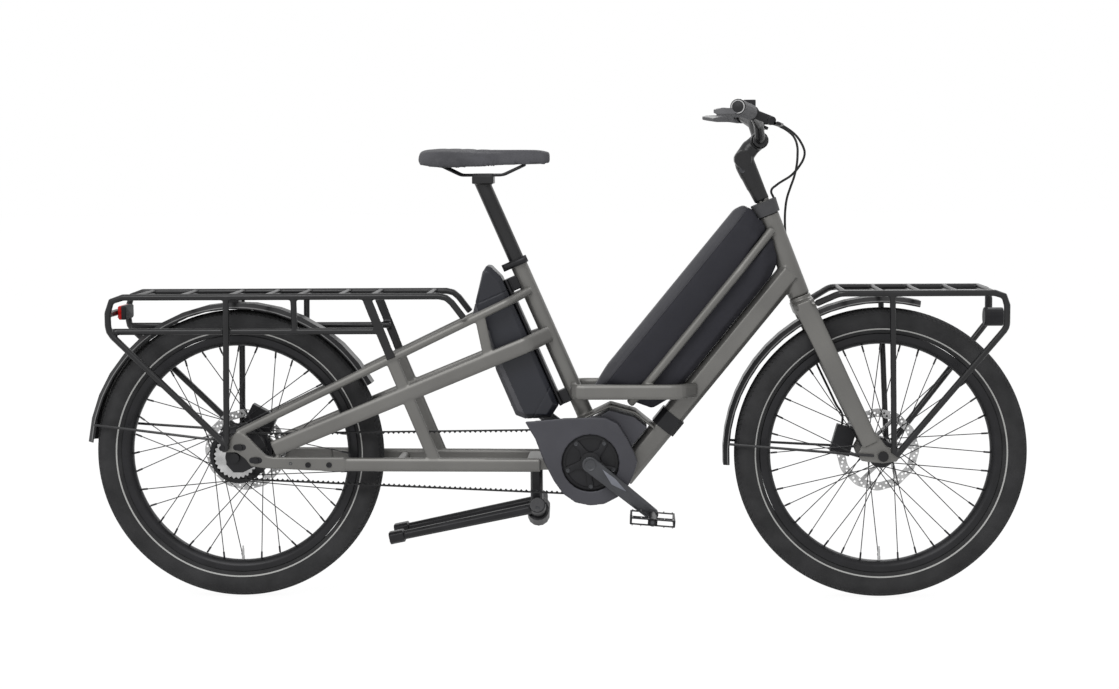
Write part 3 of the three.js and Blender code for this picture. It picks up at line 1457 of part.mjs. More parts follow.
function fender(axle, spec, angles, footY, extras) {
  const shell = fenderShell(axle, fenderRadius(spec), degrees(angles.from), degrees(angles.to));
  const stays = [RIGHT, LEFT].map((side) => {
    const angle = degrees(angles.stay);
    const lip = fenderRadius(spec) - FENDER.roll;
    const top = at(
      axle.x + lip * Math.cos(angle),
      side * FENDER.halfWidth,
      axle.z + lip * Math.sin(angle),
    );
    const foot = at(axle.x + spec.footX, side * footY, axle.z + spec.footUp);
    const kneeShare = (spec.footX - spec.kneeX) / (foot.x - top.x);
    const knee = at(axle.x + spec.kneeX, side * footY, foot.z + (top.z - foot.z) * kneeShare);
    return sweep([top, knee, foot], roundSection(6), FENDER.stay);
  });
  return weld(shell, ...stays, ...extras);
}

const rearTop = at(FENDER_BRACKET_X, 0, REAR_AXLE.z + fenderRadius(REAR_FENDER));
const crossTubeLow = REAR_RACK.deckZ - CROSS_TUBE_RADIUS - GAP;
const rearFenderBracket = block(
  at(rearTop.x, 0, (rearTop.z + crossTubeLow) / 2 - FENDER.wall / 2),
  FENDER.roll * 2,
  FENDER.halfWidth,
  crossTubeLow - rearTop.z + FENDER.wall,
);
const rearStayY = rackFootY - RACK_TUBE_RADIUS - GAP - FENDER.stay;
add(
  "rear_fender",
  fender(REAR_AXLE, REAR_FENDER, REAR_FENDER_DEGREES, rearStayY, [rearFenderBracket]),
  SATIN_BLACK,
);

// A bridge ties the two chain stays together ahead of the rear tyre.
const BRIDGE = { x: 352, radius: 10 };
add(
  "stay_bridge",
  crossRod(at(BRIDGE.x, 0, CHAIN_STAY.z), STAY_SPREAD - CHAIN_STAY.width / 2 - GAP, BRIDGE.radius),
  FRAME_GREY,
);

// Brake caliper: a block astride the disc, cut away where it meets the frame part that carries it.
const FRONT_CALIPER_ANGLE = 164;
const REAR_CALIPER_ANGLE = 62;
const CALIPER = { length: 44, height: 62, inside: 10, outside: 13, slotShare: 0.8, slotHalf: 1.9 };

function caliper(axle, discY, angle, carrierSolid) {
  const reach = DISC.radius - CALIPER.length / 2 + CALIPER.inside;
  const body = block(
    at(reach, discY + (CALIPER.outside - CALIPER.inside) / 2, 0),
    CALIPER.length,
    CALIPER.outside + CALIPER.inside,
    CALIPER.height,
  );
  const slot = block(
    at(reach - CALIPER.length * (1 - CALIPER.slotShare), discY, 0),
    CALIPER.length,
    CALIPER.slotHalf * 2,
    CALIPER.height + OVERRUN,
  );
  const shaped = cut(body, slot).rotateY(-angle).translate(axle.x, 0, axle.z);
  return cut(shaped, carrierSolid);
}

// Fork: a steerer tube, a crown over the tyre, two tapered blades and a flat end on each for axle and rack.
const FORK = {
  steerer: 14.2,
  steererTop: 236,
  crownHeight: 24,
  crownLength: 48,
  bladeTopY: 54,
  bladeLowY: 56,
  bladeTop: 44,
  bladeLow: 36,
  depthTop: 18,
  depthLow: 13,
  endWidth: 10,
  bladeStartUp: -12,
  bladeEndX: -26,
  bladeEndZ: 26,
};
const FORK_END_SIZE = 52;
const FORK_END_SHARES = [
  [-1.0, 0.14],
  [-0.88, -0.2],
  [-0.4, -0.26],
  [0.0, -0.3],
  [0.56, -0.22],
  [0.7, 0.0],
  [0.56, 0.22],
  [0.14, 0.4],
  [-0.24, 0.9],
  [-0.72, 0.66],
];

const bladeSweep = (side, clear = 0) =>
  sweep(
    [
      onSteer(FORK.bladeStartUp, 0, side * FORK.bladeTopY),
      FRONT_AXLE.clone().add(at(FORK.bladeEndX, side * FORK.bladeLowY, FORK.bladeEndZ)),
    ],
    boxySection(),
    [FORK.bladeTop / 2 + clear, FORK.bladeLow / 2 + clear],
    [FORK.depthTop / 2 + clear, FORK.depthLow / 2 + clear],
  );

function fork() {
  const steerer = rod(
    onSteer(-FORK.crownHeight / 2),
    onSteer(FORK.steererTop),
    FORK.steerer,
    HEAD_TUBE.sides,
  );
  const race = rod(onSteer(-GAP), onSteer(HEAD_TUBE.seat - GAP), HEAD_TUBE.radius + GAP * 2, HEAD_TUBE.sides);
  const crown = sweep(
    [onSteer(-FORK.crownHeight), onSteer(0)],
    boxySection(),
    FORK.crownLength / 2,
    FORK.bladeTopY + FORK.depthTop / 2,
  );
  const inner = FRONT_HUB.face + GAP;
  const ends = [RIGHT, LEFT].map((side) =>
    plate(
      FORK_END_SHARES.map(
        ([a, b]) =>
          new THREE.Vector2(FRONT_AXLE.x + a * FORK_END_SIZE, FRONT_AXLE.z + b * FORK_END_SIZE),
      ),
      side * inner,
      side * (inner + FORK.endWidth),
    ),
  );
  const axleBore = crossRod(FRONT_AXLE, inner + FORK.endWidth * 2, AXLE.radius + GAP, TUBE_SIDES);
  const body = weld(steerer, race, crown, bladeSweep(RIGHT), bladeSweep(LEFT), ...ends);
  return cut(body, axleBore);
}
add("fork", fork(), FRAME_GREY);
axleOf("front_axle", FRONT_AXLE, FRONT_HUB.face + GAP + FORK.endWidth);

const crownMiddle = onSteer(-FORK.crownHeight / 2);
const fenderAtCrown = Math.atan2(crownMiddle.z - FRONT_AXLE.z, crownMiddle.x - FRONT_AXLE.x);
const frontFenderTop = FRONT_AXLE.clone().add(
  at(
    fenderRadius(FRONT_FENDER) * Math.cos(fenderAtCrown),
    0,
    fenderRadius(FRONT_FENDER) * Math.sin(fenderAtCrown),
  ),
);
const frontFenderBracket = cut(
  sweep(
    [along(frontFenderTop, FRONT_AXLE, FENDER.wall / fenderRadius(FRONT_FENDER)), crownMiddle],
    boxySection(),
    FENDER.roll,
    FENDER.halfWidth / 2,
  ),
  sweep(
    [onSteer(-FORK.crownHeight - GAP), onSteer(FORK.crownHeight)],
    boxySection(),
    FORK.crownLength / 2 + GAP,
    FORK.bladeTopY + FORK.depthTop,
  ),
);
const forkOuter = FRONT_HUB.face + GAP + FORK.endWidth;
add(
  "front_fender",
  fender(FRONT_AXLE, FRONT_FENDER, FRONT_FENDER_DEGREES, forkOuter + GAP + FENDER.stay, [frontFenderBracket]),
  SATIN_BLACK,
);
add(
  "front_caliper",
  caliper(FRONT_AXLE, FRONT_HUB.discAt, degrees(FRONT_CALIPER_ANGLE), bladeSweep(LEFT, GAP)),
  SATIN_BLACK,
);
add(
  "rear_caliper",
  caliper(
    REAR_AXLE,
    REAR_HUB.discAt,
    degrees(REAR_CALIPER_ANGLE),
    rod(
      onRail(UPPER_RAIL, UPPER_RAIL.fromX - OVERRUN).add(at(0, STAY_SPREAD, 0)),
      onRail(UPPER_RAIL, LONG_STRUT.topX).add(at(0, STAY_SPREAD, 0)),
      UPPER_RAIL.radius + GAP,
    ),
  ),
  SATIN_BLACK,
);

// Headset cover, stem and handlebar.
const COVER = { height: 29, top: 29, foot: 27 };
const STEM = {
  tube: 15,
  tubeTop: 318,
  kneeUp: 326,
  kneeBack: -8,
  clampUp: 350,
  clampAhead: 39,
  clamp: 19,
  arm: 15,
};
const STEM_CLAMP = { halfWidth: 24, kneeShare: 0.8, armShare: 0.7 };
const BAR = { radius: 11, thick: 15.5, thickHalf: 42 };
const coverLow = HEAD_TUBE.seat + HEAD_TUBE_LENGTH + GAP;

add(
  "headset_cover",
  cut(
    sweep([onSteer(coverLow), onSteer(coverLow + COVER.height)], roundSection(HEAD_TUBE.sides), [
      COVER.foot,
      COVER.top,
    ]),
    rod(
      onSteer(coverLow - OVERRUN),
      onSteer(coverLow + COVER.height + OVERRUN),
      FORK.steerer + RUNNING_GAP,
      HEAD_TUBE.sides,
    ),
  ),
  SATIN_BLACK,
);

const BAR_MIDDLE = onSteer(STEM.clampUp, STEM.clampAhead);
const BAR_PLACES = [
  [0, 42, 0],
  [-8, 92, 36],
  [-26, 185, 54],
  [-62, 330, 63],
];
const onBar = (index, side) => {
  const [x, y, z] = BAR_PLACES[index];
  return BAR_MIDDLE.clone().add(at(x, side * y, z));
};

function barRoute(radius) {
  const half = (side) => [1, 2, 3].map((index) => onBar(index, side));
  const corners = [...half(RIGHT).toReversed(), onBar(0, RIGHT), onBar(0, LEFT), ...half(LEFT)];
  return sweep(bent(corners, BAR_PLACES[0][1], 2), roundSection(TUBE_SIDES), radius, radius, UPWARDS);
}

function stem() {
  const tube = rod(onSteer(coverLow + COVER.height + GAP), onSteer(STEM.tubeTop), STEM.tube, 12);
  const knee = crossRod(
    onSteer(STEM.kneeUp, STEM.kneeBack),
    STEM_CLAMP.halfWidth * STEM_CLAMP.kneeShare,
    STEM.clamp,
    ROUND_SIDES,
  );
  const arm = sweep(
    [onSteer(STEM.kneeUp, STEM.kneeBack), BAR_MIDDLE],
    boxySection(),
    STEM.arm,
    STEM_CLAMP.halfWidth * STEM_CLAMP.armShare,
  );
  const clamp = crossRod(BAR_MIDDLE, STEM_CLAMP.halfWidth, STEM.clamp, 14);
  const steererBore = rod(
    onSteer(coverLow),
    onSteer(FORK.steererTop + GAP),
    FORK.steerer + GAP,
    HEAD_TUBE.sides,
  );
  const barBore = crossRod(BAR_MIDDLE, STEM_CLAMP.halfWidth * 2, BAR.thick + GAP, TUBE_SIDES);
  return cut(weld(tube, knee, arm, clamp), steererBore, barBore);
}
add("stem", stem(), SATIN_BLACK);
add(
  "handlebar",
  weld(barRoute(BAR.radius), crossRod(BAR_MIDDLE, BAR.thickHalf, BAR.thick, TUBE_SIDES)),
  SATIN_BLACK,
);

// Grips with a palm wing behind, and the brake levers on their clamps inside them.
const GRIP = {
  from: 0.16,
  radius: 16,
  to: 0.995,
  wingFrom: 0.42,
  wingBack: 24,
  wingHalf: 25,
  wingDepth: 6,
  wingDrop: 8,
};
const BRAKE = {
  at: 0.02,
  clampWidth: 12,
  clamp: 15,
  armX: 40,
  armZ: -16,
  cylinder: 9,
  cylinderIn: 34,
  cylinderOut: 9,
};
const BRAKE_LEVER = {
  ahead: 52,
  down: -24,
  outBy: 112,
  radius: 5.5,
  eye: 7,
  eyeHeight: 7,
  tipBack: 6,
  bendShare: 0.4,
  depthShare: 0.6,
};

function grip(side) {
  const [inner, outer] = [onBar(2, side), onBar(3, side)];
  const on = (share, back = 0, drop = 0) => along(inner, outer, share).add(at(-back, 0, -drop));
  const body = sweep(
    [on(GRIP.from), on(GRIP.to)],
    roundSection(ROUND_SIDES),
    GRIP.radius,
    GRIP.radius,
    UPWARDS,
  );
  const wing = sweep(
    [on(GRIP.wingFrom, GRIP.wingBack, GRIP.wingDrop), on(GRIP.to, GRIP.wingBack, GRIP.wingDrop)],
    boxySection(),
    GRIP.wingHalf,
    GRIP.wingDepth,
    UPWARDS,
  );
  const bore = sweep(
    [on(-GRIP.from), on(1 + GRIP.from)],
    roundSection(TUBE_SIDES),
    BAR.radius + GAP,
    BAR.radius + GAP,
    UPWARDS,
  );
  return cut(weld(body, wing), bore);
}

const brakeMiddle = (side) => along(onBar(2, side), onBar(3, side), BRAKE.at);
const leverPivot = (side) => brakeMiddle(side).add(at(BRAKE_LEVER.ahead, 0, BRAKE_LEVER.down));
const LEVER_AXIS = at(-BRAKE_LEVER.down, 0, BRAKE_LEVER.ahead).normalize();
const LEVER_PULL = 15 * (Math.PI / 180);
const LEVER_PULL_STEPS = 4;

// The blade of a brake lever, pulled by some angle towards the grip, with its section grown on every side.
function leverBlade(side, pull = 0, grown = 0) {
  const pivot = leverPivot(side);
  const turned = (reach, out) => at(reach, side * out, 0).applyAxisAngle(LEVER_AXIS, side * pull);
  return sweep(
    [
      pivot,
      turned(BRAKE_LEVER.eye / 2, BRAKE_LEVER.outBy * BRAKE_LEVER.bendShare).add(pivot),
      turned(-BRAKE_LEVER.tipBack, BRAKE_LEVER.outBy).add(pivot),
    ],
    boxySection(),
    BRAKE_LEVER.radius + grown,
    BRAKE_LEVER.radius * BRAKE_LEVER.depthShare + grown,
    LEVER_AXIS,
  );
}

function brakeBody(side) {
  const middle = brakeMiddle(side);
  const half = BRAKE.clampWidth / 2;
  const ring = crossRod(middle, half, BRAKE.clamp, ROUND_SIDES);
  const armEnd = middle.clone().add(at(BRAKE.armX, 0, BRAKE.armZ));
  const arm = sweep([middle, armEnd], boxySection(), BRAKE.cylinder, half);
  const cylinder = rod(
    armEnd.clone().add(at(0, side * BRAKE.cylinderOut, 0)),
    armEnd.clone().add(at(0, -side * BRAKE.cylinderIn, 0)),
    BRAKE.cylinder,
    TUBE_SIDES,
    UPWARDS,
  );
  const pivot = leverPivot(side);
  const clearOfEye = rod(
    pivot.clone().addScaledVector(LEVER_AXIS, -BRAKE_LEVER.eyeHeight),
    pivot.clone().addScaledVector(LEVER_AXIS, BRAKE_LEVER.eyeHeight),
    BRAKE_LEVER.eye + RUNNING_GAP,
    ROUND_SIDES,
  );
  const [inner, outer] = [onBar(2, side), onBar(3, side)];
  const bar = sweep(
    [onBar(1, side), inner, outer],
    roundSection(TUBE_SIDES),
    BAR.radius + GAP,
    BAR.radius + GAP,
    UPWARDS,
  );
  const blades = Array.from({ length: LEVER_PULL_STEPS + 1 }, (_, i) =>
    leverBlade(side, (LEVER_PULL * i) / LEVER_PULL_STEPS, RUNNING_GAP),
  );
  return cut(weld(ring, arm, cylinder), clearOfEye, bar, ...blades);
}

function brakeLever(side) {
  const pivot = leverPivot(side);
  const eye = rod(
    pivot.clone().addScaledVector(LEVER_AXIS, -BRAKE_LEVER.eyeHeight / 2),
    pivot.clone().addScaledVector(LEVER_AXIS, BRAKE_LEVER.eyeHeight / 2),
    BRAKE_LEVER.eye,
    ROUND_SIDES,
  );
  return weld(eye, leverBlade(side));
}

for (const [name, side] of [["right", RIGHT], ["left", LEFT]]) {
  add(name + "_stand_leg", standLeg(side), SATIN_BLACK);
  add(name + "_grip", grip(side), RUBBER);
  add(name + "_brake_clamp", brakeBody(side), SATIN_BLACK);
  add(name + "_brake_lever", brakeLever(side), SATIN_BLACK);
}

// Display: a small case on a foot that stands on the left of the bar.
const DISPLAY = { share: 0.35, length: 26, width: 52, height: 26, lift: 34, foot: 12 };
const displayFoot = along(onBar(1, LEFT), onBar(2, LEFT), DISPLAY.share);
add(
  "display",
  cut(
    weld(
      block(displayFoot.clone().add(at(0, 0, DISPLAY.lift)), DISPLAY.length, DISPLAY.width, DISPLAY.height),
      block(
        displayFoot.clone().add(at(0, 0, DISPLAY.lift / 2)),
        DISPLAY.foot,
        DISPLAY.foot,
        DISPLAY.lift,
      ),
    ),
    barRoute(BAR.radius + GAP),
  ),
  SATIN_BLACK,
);

// Front rack, carried by the fork crown and by the fork ends.
const FRONT_RACK = { deckZ: 664, spread: 104, rearX: 1286, noseX: 1633, noseLow: 592, bend: 26 };
const FRONT_CROSS = [1300, 1378, 1456, 1534, 1608];
const RACK_FOOT = { ahead: 26, up: 2 };
const frontFootY = forkOuter + GAP + RACK_TUBE_RADIUS;
const crownSideY = FORK.bladeTopY + FORK.depthTop / 2 + GAP + RACK_TUBE_RADIUS;
const FRONT_POST = { topX: 1396, ahead: 22, radiusShare: 0.9 };

function frontRack() {
  const round = roundSection(8);
  const pieces = [];
  for (const side of [RIGHT, LEFT]) {
    const y = side * FRONT_RACK.spread;
    const foot = FRONT_AXLE.clone().add(at(RACK_FOOT.ahead, side * frontFootY, RACK_FOOT.up));
    const crownEnd = onSteer(-FORK.crownHeight / 2, FORK.crownLength / 2, side * crownSideY);
    const main = bent(
      [
        crownEnd,
        at(FRONT_RACK.rearX, y, FRONT_RACK.deckZ),
        at(FRONT_RACK.noseX, y, FRONT_RACK.deckZ),
        at(FRONT_RACK.noseX, y, FRONT_RACK.noseLow),
        foot,
      ],
      FRONT_RACK.bend,
      2,
    );
    pieces.push(sweep(main, round, RACK_TUBE_RADIUS, RACK_TUBE_RADIUS, SIDEWAYS, true));
    pieces.push(
      rod(
        at(FRONT_POST.topX, y, FRONT_RACK.deckZ),
        FRONT_AXLE.clone().add(at(FRONT_POST.ahead, side * frontFootY, RACK_TUBE_RADIUS)),
        RACK_TUBE_RADIUS * FRONT_POST.radiusShare,
        8,
      ),
    );
  }
  for (const x of FRONT_CROSS) {
    pieces.push(crossRod(at(x, 0, FRONT_RACK.deckZ), FRONT_RACK.spread, CROSS_TUBE_RADIUS, 6));
  }
  return weld(...pieces);
}
add("front_rack", frontRack(), SATIN_BLACK);

// Headlamp: a short barrel under the front of the rack, hung from its last cross tube.
const HEADLAMP = { radius: 20, length: 40, rearX: 1603, z: 606, bracket: 14, wall: 4 };
const lampTop = FRONT_RACK.deckZ - CROSS_TUBE_RADIUS - GAP;
add(
  "headlamp",
  weld(
    rod(
      at(HEADLAMP.rearX, 0, HEADLAMP.z),
      at(HEADLAMP.rearX + HEADLAMP.length, 0, HEADLAMP.z),
      HEADLAMP.radius,
      16,
    ),
    block(
      at(FRONT_CROSS[FRONT_CROSS.length - 1], 0, (lampTop + HEADLAMP.z) / 2),
      HEADLAMP.wall,
      HEADLAMP.bracket,
      lampTop - HEADLAMP.z,
    ),
  ),
  CLEAR_LENS,
);

// Brake hoses, with hand-set routes: the left one runs down the left fork blade to the front caliper, and
// the right one makes a loop ahead of the bar and enters the frame through the headset cover.
const HOSE = { radius: 2.5, spacing: 15 };
const LEFT_HOSE = [
  [1168, 112, 1018],
  [1206, 62, 985],
  [1206, 36, 925],
  [1184, 32, 850],
  [1184, 31, 770],
  [1200, 50, 700],
  [1208, 70, 640],
  [1242, 71, 530],
  [1283, 68, 440],
  [1303, 56, 398],
];
const RIGHT_HOSE = [
  [1166, -112, 1012],
  [1204, -52, 985],
  [1219, -12, 950],
  [1196, 4, 912],
  [1163, 2, 890],
];

// Each hose starts at the inner end of its brake cylinder. The front one ends on top of its caliper, and
// the rear one on the headset cover.
const cylinderEnd = (side, off) => {
  const inwards = BRAKE.cylinderIn + off;
  return brakeMiddle(side).add(at(BRAKE.armX, -side * inwards, BRAKE.armZ));
};
const caliperTop = (off) => {
  const angle = degrees(FRONT_CALIPER_ANGLE);
  const reach = DISC.radius - CALIPER.length / 2 + CALIPER.inside * 2;
  const up = CALIPER.height / 2 + off;
  return FRONT_AXLE.clone().add(
    at(
      reach * Math.cos(angle) + up * Math.sin(angle),
      FRONT_HUB.discAt + CALIPER.outside - HOSE.radius * 2,
      reach * Math.sin(angle) - up * Math.cos(angle),
    ),
  );
};
const coverTop = (off) => onSteer(coverLow + COVER.height + off, COVER.top - HOSE.radius * 2, 0);

function hose(points) {
  const curve = new THREE.CatmullRomCurve3(points);
  const steps = Math.round(curve.getLength() / HOSE.spacing);
  const path = new Route(
    curve.getSpacedPoints(steps),
    UPWARDS,
    Array(steps + 1).fill(HOSE.radius),
    Array(steps + 1).fill(HOSE.radius),
  );
  return new THREE.ExtrudeGeometry(roundSection(CABLE_SIDES), { steps, extrudePath: path });
}
const hoseRoute = (side, table, endAt) => [
  cylinderEnd(side, GAP),
  cylinderEnd(side, HOSE.spacing),
  ...table.map(([x, y, z]) => at(x, y, z)),
  endAt(HOSE.spacing),
  endAt(GAP),
];
add("front_brake_hose", hose(hoseRoute(LEFT, LEFT_HOSE, caliperTop)), RUBBER);
add("rear_brake_hose", hose(hoseRoute(RIGHT, RIGHT_HOSE, coverTop)), RUBBER);

// The origin is the middle of the footprint, on the ground.
const bounds = new THREE.Box3().setFromObject(bike);
const middle = bounds.getCenter(new THREE.Vector3());
bike.position.set(-middle.x, -middle.y, -bounds.min.z);

export default bike;
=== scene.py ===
# %% [markdown]
# # A longtail cargo bicycle, dressed for its portrait
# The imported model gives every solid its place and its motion. Here each solid gets the form, the
# finish and the small parts that the real bicycle shows: welds, spokes, tread, cloth and bolts.

# %% Load the frame
import json
import math

import bpy
from mathutils import Matrix, Vector

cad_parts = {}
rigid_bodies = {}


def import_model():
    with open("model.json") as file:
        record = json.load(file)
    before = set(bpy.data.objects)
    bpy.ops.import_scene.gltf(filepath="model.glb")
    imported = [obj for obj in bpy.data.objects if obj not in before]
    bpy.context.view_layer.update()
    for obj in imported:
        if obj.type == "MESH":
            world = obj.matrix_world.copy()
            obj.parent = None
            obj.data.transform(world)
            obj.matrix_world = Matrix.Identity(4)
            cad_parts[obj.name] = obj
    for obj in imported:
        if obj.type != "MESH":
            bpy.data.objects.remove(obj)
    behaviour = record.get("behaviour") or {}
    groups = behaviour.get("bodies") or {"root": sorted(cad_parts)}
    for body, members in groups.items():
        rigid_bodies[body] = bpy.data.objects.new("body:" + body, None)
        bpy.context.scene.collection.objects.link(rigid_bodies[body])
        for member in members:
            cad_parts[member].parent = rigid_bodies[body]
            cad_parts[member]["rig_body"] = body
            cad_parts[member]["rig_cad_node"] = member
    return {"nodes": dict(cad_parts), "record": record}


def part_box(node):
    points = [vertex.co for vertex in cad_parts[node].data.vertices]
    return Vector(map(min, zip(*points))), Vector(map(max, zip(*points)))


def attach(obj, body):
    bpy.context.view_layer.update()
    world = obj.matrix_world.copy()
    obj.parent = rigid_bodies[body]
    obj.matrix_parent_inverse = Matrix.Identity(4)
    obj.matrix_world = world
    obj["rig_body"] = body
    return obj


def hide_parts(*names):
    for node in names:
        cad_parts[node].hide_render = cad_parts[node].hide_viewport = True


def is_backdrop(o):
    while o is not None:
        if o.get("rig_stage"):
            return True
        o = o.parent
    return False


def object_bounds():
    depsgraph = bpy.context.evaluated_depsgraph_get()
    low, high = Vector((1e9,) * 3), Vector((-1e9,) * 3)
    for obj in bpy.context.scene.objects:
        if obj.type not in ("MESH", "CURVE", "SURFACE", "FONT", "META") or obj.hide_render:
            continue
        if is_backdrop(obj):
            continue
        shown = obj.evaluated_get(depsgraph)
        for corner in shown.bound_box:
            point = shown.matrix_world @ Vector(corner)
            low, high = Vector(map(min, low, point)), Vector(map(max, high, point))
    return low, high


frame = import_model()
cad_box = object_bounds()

# %% [markdown]
# The part was drawn in millimetres from the rear axle, and then moved so that its origin is in the
# middle of its footprint. A helper turns a place in that drawing into a place in this scene.

# %% Places, in the drawing's millimetres
MM = 0.001
REAR_AXLE_BACK = 684.878
AXLE_UP = 313.5
WHEELBASE = 1385
FRONT, REAR = WHEELBASE, 0
WHEELS = [("front", FRONT), ("rear", REAR)]


def at(x, y, z):
    """A place in the drawing, in millimetres, as a place in the scene."""
    return Vector((x - REAR_AXLE_BACK, y, z)) * MM


def axle(x):
    """The middle of the wheel whose axle is x millimetres ahead of the rear axle."""
    return at(x, 0, AXLE_UP)


print("rear axle", axle(REAR), "front axle", axle(FRONT))

# %% [markdown]
# The camera stands where the photographer's did: about four metres away and just under a metre up,
# looking a little down and a little to the left. Its three axes come from three small turns.

# %% The camera
PHOTO_WIDTH = 1119
SENSOR = 36
FOCAL_PIXELS = 1965.3547
YAW, PITCH, ROLL = -0.03848, -0.09377, -0.00656
across = Vector((math.cos(YAW), -math.sin(YAW), 0))
flat_ahead = Vector((math.sin(YAW), math.cos(YAW), 0))
ahead = flat_ahead * math.cos(PITCH) + Vector((0, 0, math.sin(PITCH)))
above = Vector((0, 0, math.cos(PITCH))) - flat_ahead * math.sin(PITCH)
right_hand = across * math.cos(ROLL) + above * math.sin(ROLL)
overhead = above * math.cos(ROLL) - across * math.sin(ROLL)
bpy.ops.object.camera_add()
camera = bpy.context.object
camera.name = "portrait_camera"
camera.data.sensor_width = SENSOR
camera.data.lens = FOCAL_PIXELS / PHOTO_WIDTH * SENSOR
camera.matrix_world = Matrix.Translation(at(858.566, -4215.229, 945.548)) @ Matrix(
    (right_hand, overhead, -ahead)
).transposed().to_4x4()
bpy.context.scene.camera = camera
bpy.context.scene.view_settings.view_transform = "Standard"
print("lens", round(camera.data.lens, 2), "mm")

# %% [markdown]
# A photograph on white needs light from all round. The world gives an even glow to the bicycle and
# plain white to the camera, and two large soft lamps, one above each side, model the tubes.

# %% Light and floor
def feed(material, socket, value):
    """Wire an output to a socket, or else set the socket to a value."""
    if isinstance(value, bpy.types.NodeSocket):
        material.node_tree.links.new(value, socket)
    else:
        socket.default_value = value


def node(material, kind, *terms, **values):
    """Add a node: values go to named sockets or settings, and terms to the first sockets."""
    made = material.node_tree.nodes.new("ShaderNode" + kind)
    for name, value in values.items():
        label = name.replace("_", " ")
        if label in made.inputs:
            feed(material, made.inputs[label], value)
        else:
            setattr(made, name, value)
    for socket, term in zip(made.inputs, terms):
        feed(material, socket, term)
    return made


def result(material, operation, *terms):
    """The output of a Math node that works on these terms."""
    return node(material, "Math", *terms, operation=operation).outputs[0]


def seen_directly(material):
    """One where the ray comes from the camera, a mirror or glass, and else zero."""
    rays = node(material, "LightPath").outputs
    seen = result(material, "MAXIMUM", rays["Is Camera Ray"], rays["Is Glossy Ray"])
    return result(material, "MAXIMUM", seen, rays["Is Transmission Ray"])


GLOW, WHITE = 0.62, 1.0
FLOOR_GLOW, FLOOR_SHARE = 1.05, 0.9
world = bpy.data.worlds.new("white_room")
world.use_nodes = True
bpy.context.scene.world = world
backdrop = world.node_tree.nodes["Background"]
backdrop.inputs["Color"].default_value = (1, 1, 1, 1)
level = node(world, "MapRange", Value=seen_directly(world), To_Min=GLOW, To_Max=WHITE)
feed(world, backdrop.inputs["Strength"], level.outputs["Result"])

bpy.ops.mesh.primitive_plane_add(size=60)
floor = bpy.context.object
floor.name = "floor"
pale = bpy.data.materials.new("pale_floor")
pale.use_nodes = True
paper = pale.node_tree.nodes["Principled BSDF"]
paper.inputs["Roughness"].default_value = 0.9
paper.inputs["Base Color"].default_value = (0.86, 0.86, 0.86, 1)
glow = node(pale, "Emission", Color=(1, 1, 1, 1), Strength=WHITE * FLOOR_GLOW)
share = result(pale, "MULTIPLY", seen_directly(pale), FLOOR_SHARE)
blend = node(pale, "MixShader", share, paper.outputs[0], glow.outputs[0])
feed(pale, pale.node_tree.nodes["Material Output"].inputs["Surface"], blend.outputs[0])
floor.data.materials.append(pale)
floor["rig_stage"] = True

for name, place, power in [
    ("near_lamp", (-1.2, -3.2, 3.6), 105),
    ("far_lamp", (1.6, 2.6, 3.4), 60),
]:
    bpy.ops.object.light_add(type="AREA", location=place)
    lamp = bpy.context.object
    lamp.name = name
    lamp.data.size = 2.6
    lamp.data.energy = power
    lamp.rotation_euler = (Vector((0, 0, 0.5)) - lamp.location).to_track_quat("-Z", "Y").to_euler()
print("lamps and floor ready")

# %% [markdown]
# Every surface here is dull on purpose: satin paint, anodised metal, rubber, cloth. What tells them
# apart is small: how the colour drifts, how rough it is and how fine its grain is. So one helper
# makes the common base, a drifting colour with a drifting roughness and a grain, and each finish
# then adds what is its own. Patterns are measured in Object coordinates, so their size is real.

# %% A finish with drift and grain
def shade(red, green, blue):
    """A screen colour, 0 to 255, as the linear colour that a shader takes."""
    parts = [part / 255 for part in (red, green, blue)]
    return (*[p / 12.92 if p <= 0.04045 else ((p + 0.055) / 1.055) ** 2.4 for p in parts], 1)


SPECK_SHARE = 0.35
RAMP_ENDS = (0.45, 0.9)


def finish(name, dark, light, rough, metal, drift, grain, depth):
    """dark and light are screen colours; rough is the range of roughness; grain is per metre."""
    material = bpy.data.materials.new(name)
    material.use_nodes = True
    shader = material.node_tree.nodes["Principled BSDF"]
    shader.inputs["Metallic"].default_value = metal
    shader.inputs["Specular IOR Level"].default_value = 0.5 if metal else 0.22
    place = node(material, "TexCoord").outputs["Object"]
    cloud = node(material, "TexNoise", Vector=place, Scale=drift, Detail=6).outputs["Fac"]
    speck = node(material, "TexNoise", Vector=place, Scale=grain, Detail=3).outputs["Fac"]
    ramp = node(material, "ValToRGB", result(material, "MULTIPLY_ADD", speck, SPECK_SHARE, cloud))
    for end, position, colour in zip(ramp.color_ramp.elements, RAMP_ENDS, (dark, light)):
        end.position, end.color = position, shade(*colour)
    feed(material, shader.inputs["Base Color"], ramp.outputs["Color"])
    ends = {"From_Min": 0.3, "From_Max": 0.7, "To_Min": rough[0], "To_Max": rough[1]}
    dullness = node(material, "MapRange", Value=cloud, **ends)
    feed(material, shader.inputs["Roughness"], dullness.outputs["Result"])
    bump = node(material, "Bump", Height=speck, Distance=depth, Strength=0.6)
    feed(material, shader.inputs["Normal"], bump.outputs["Normal"])
    return material


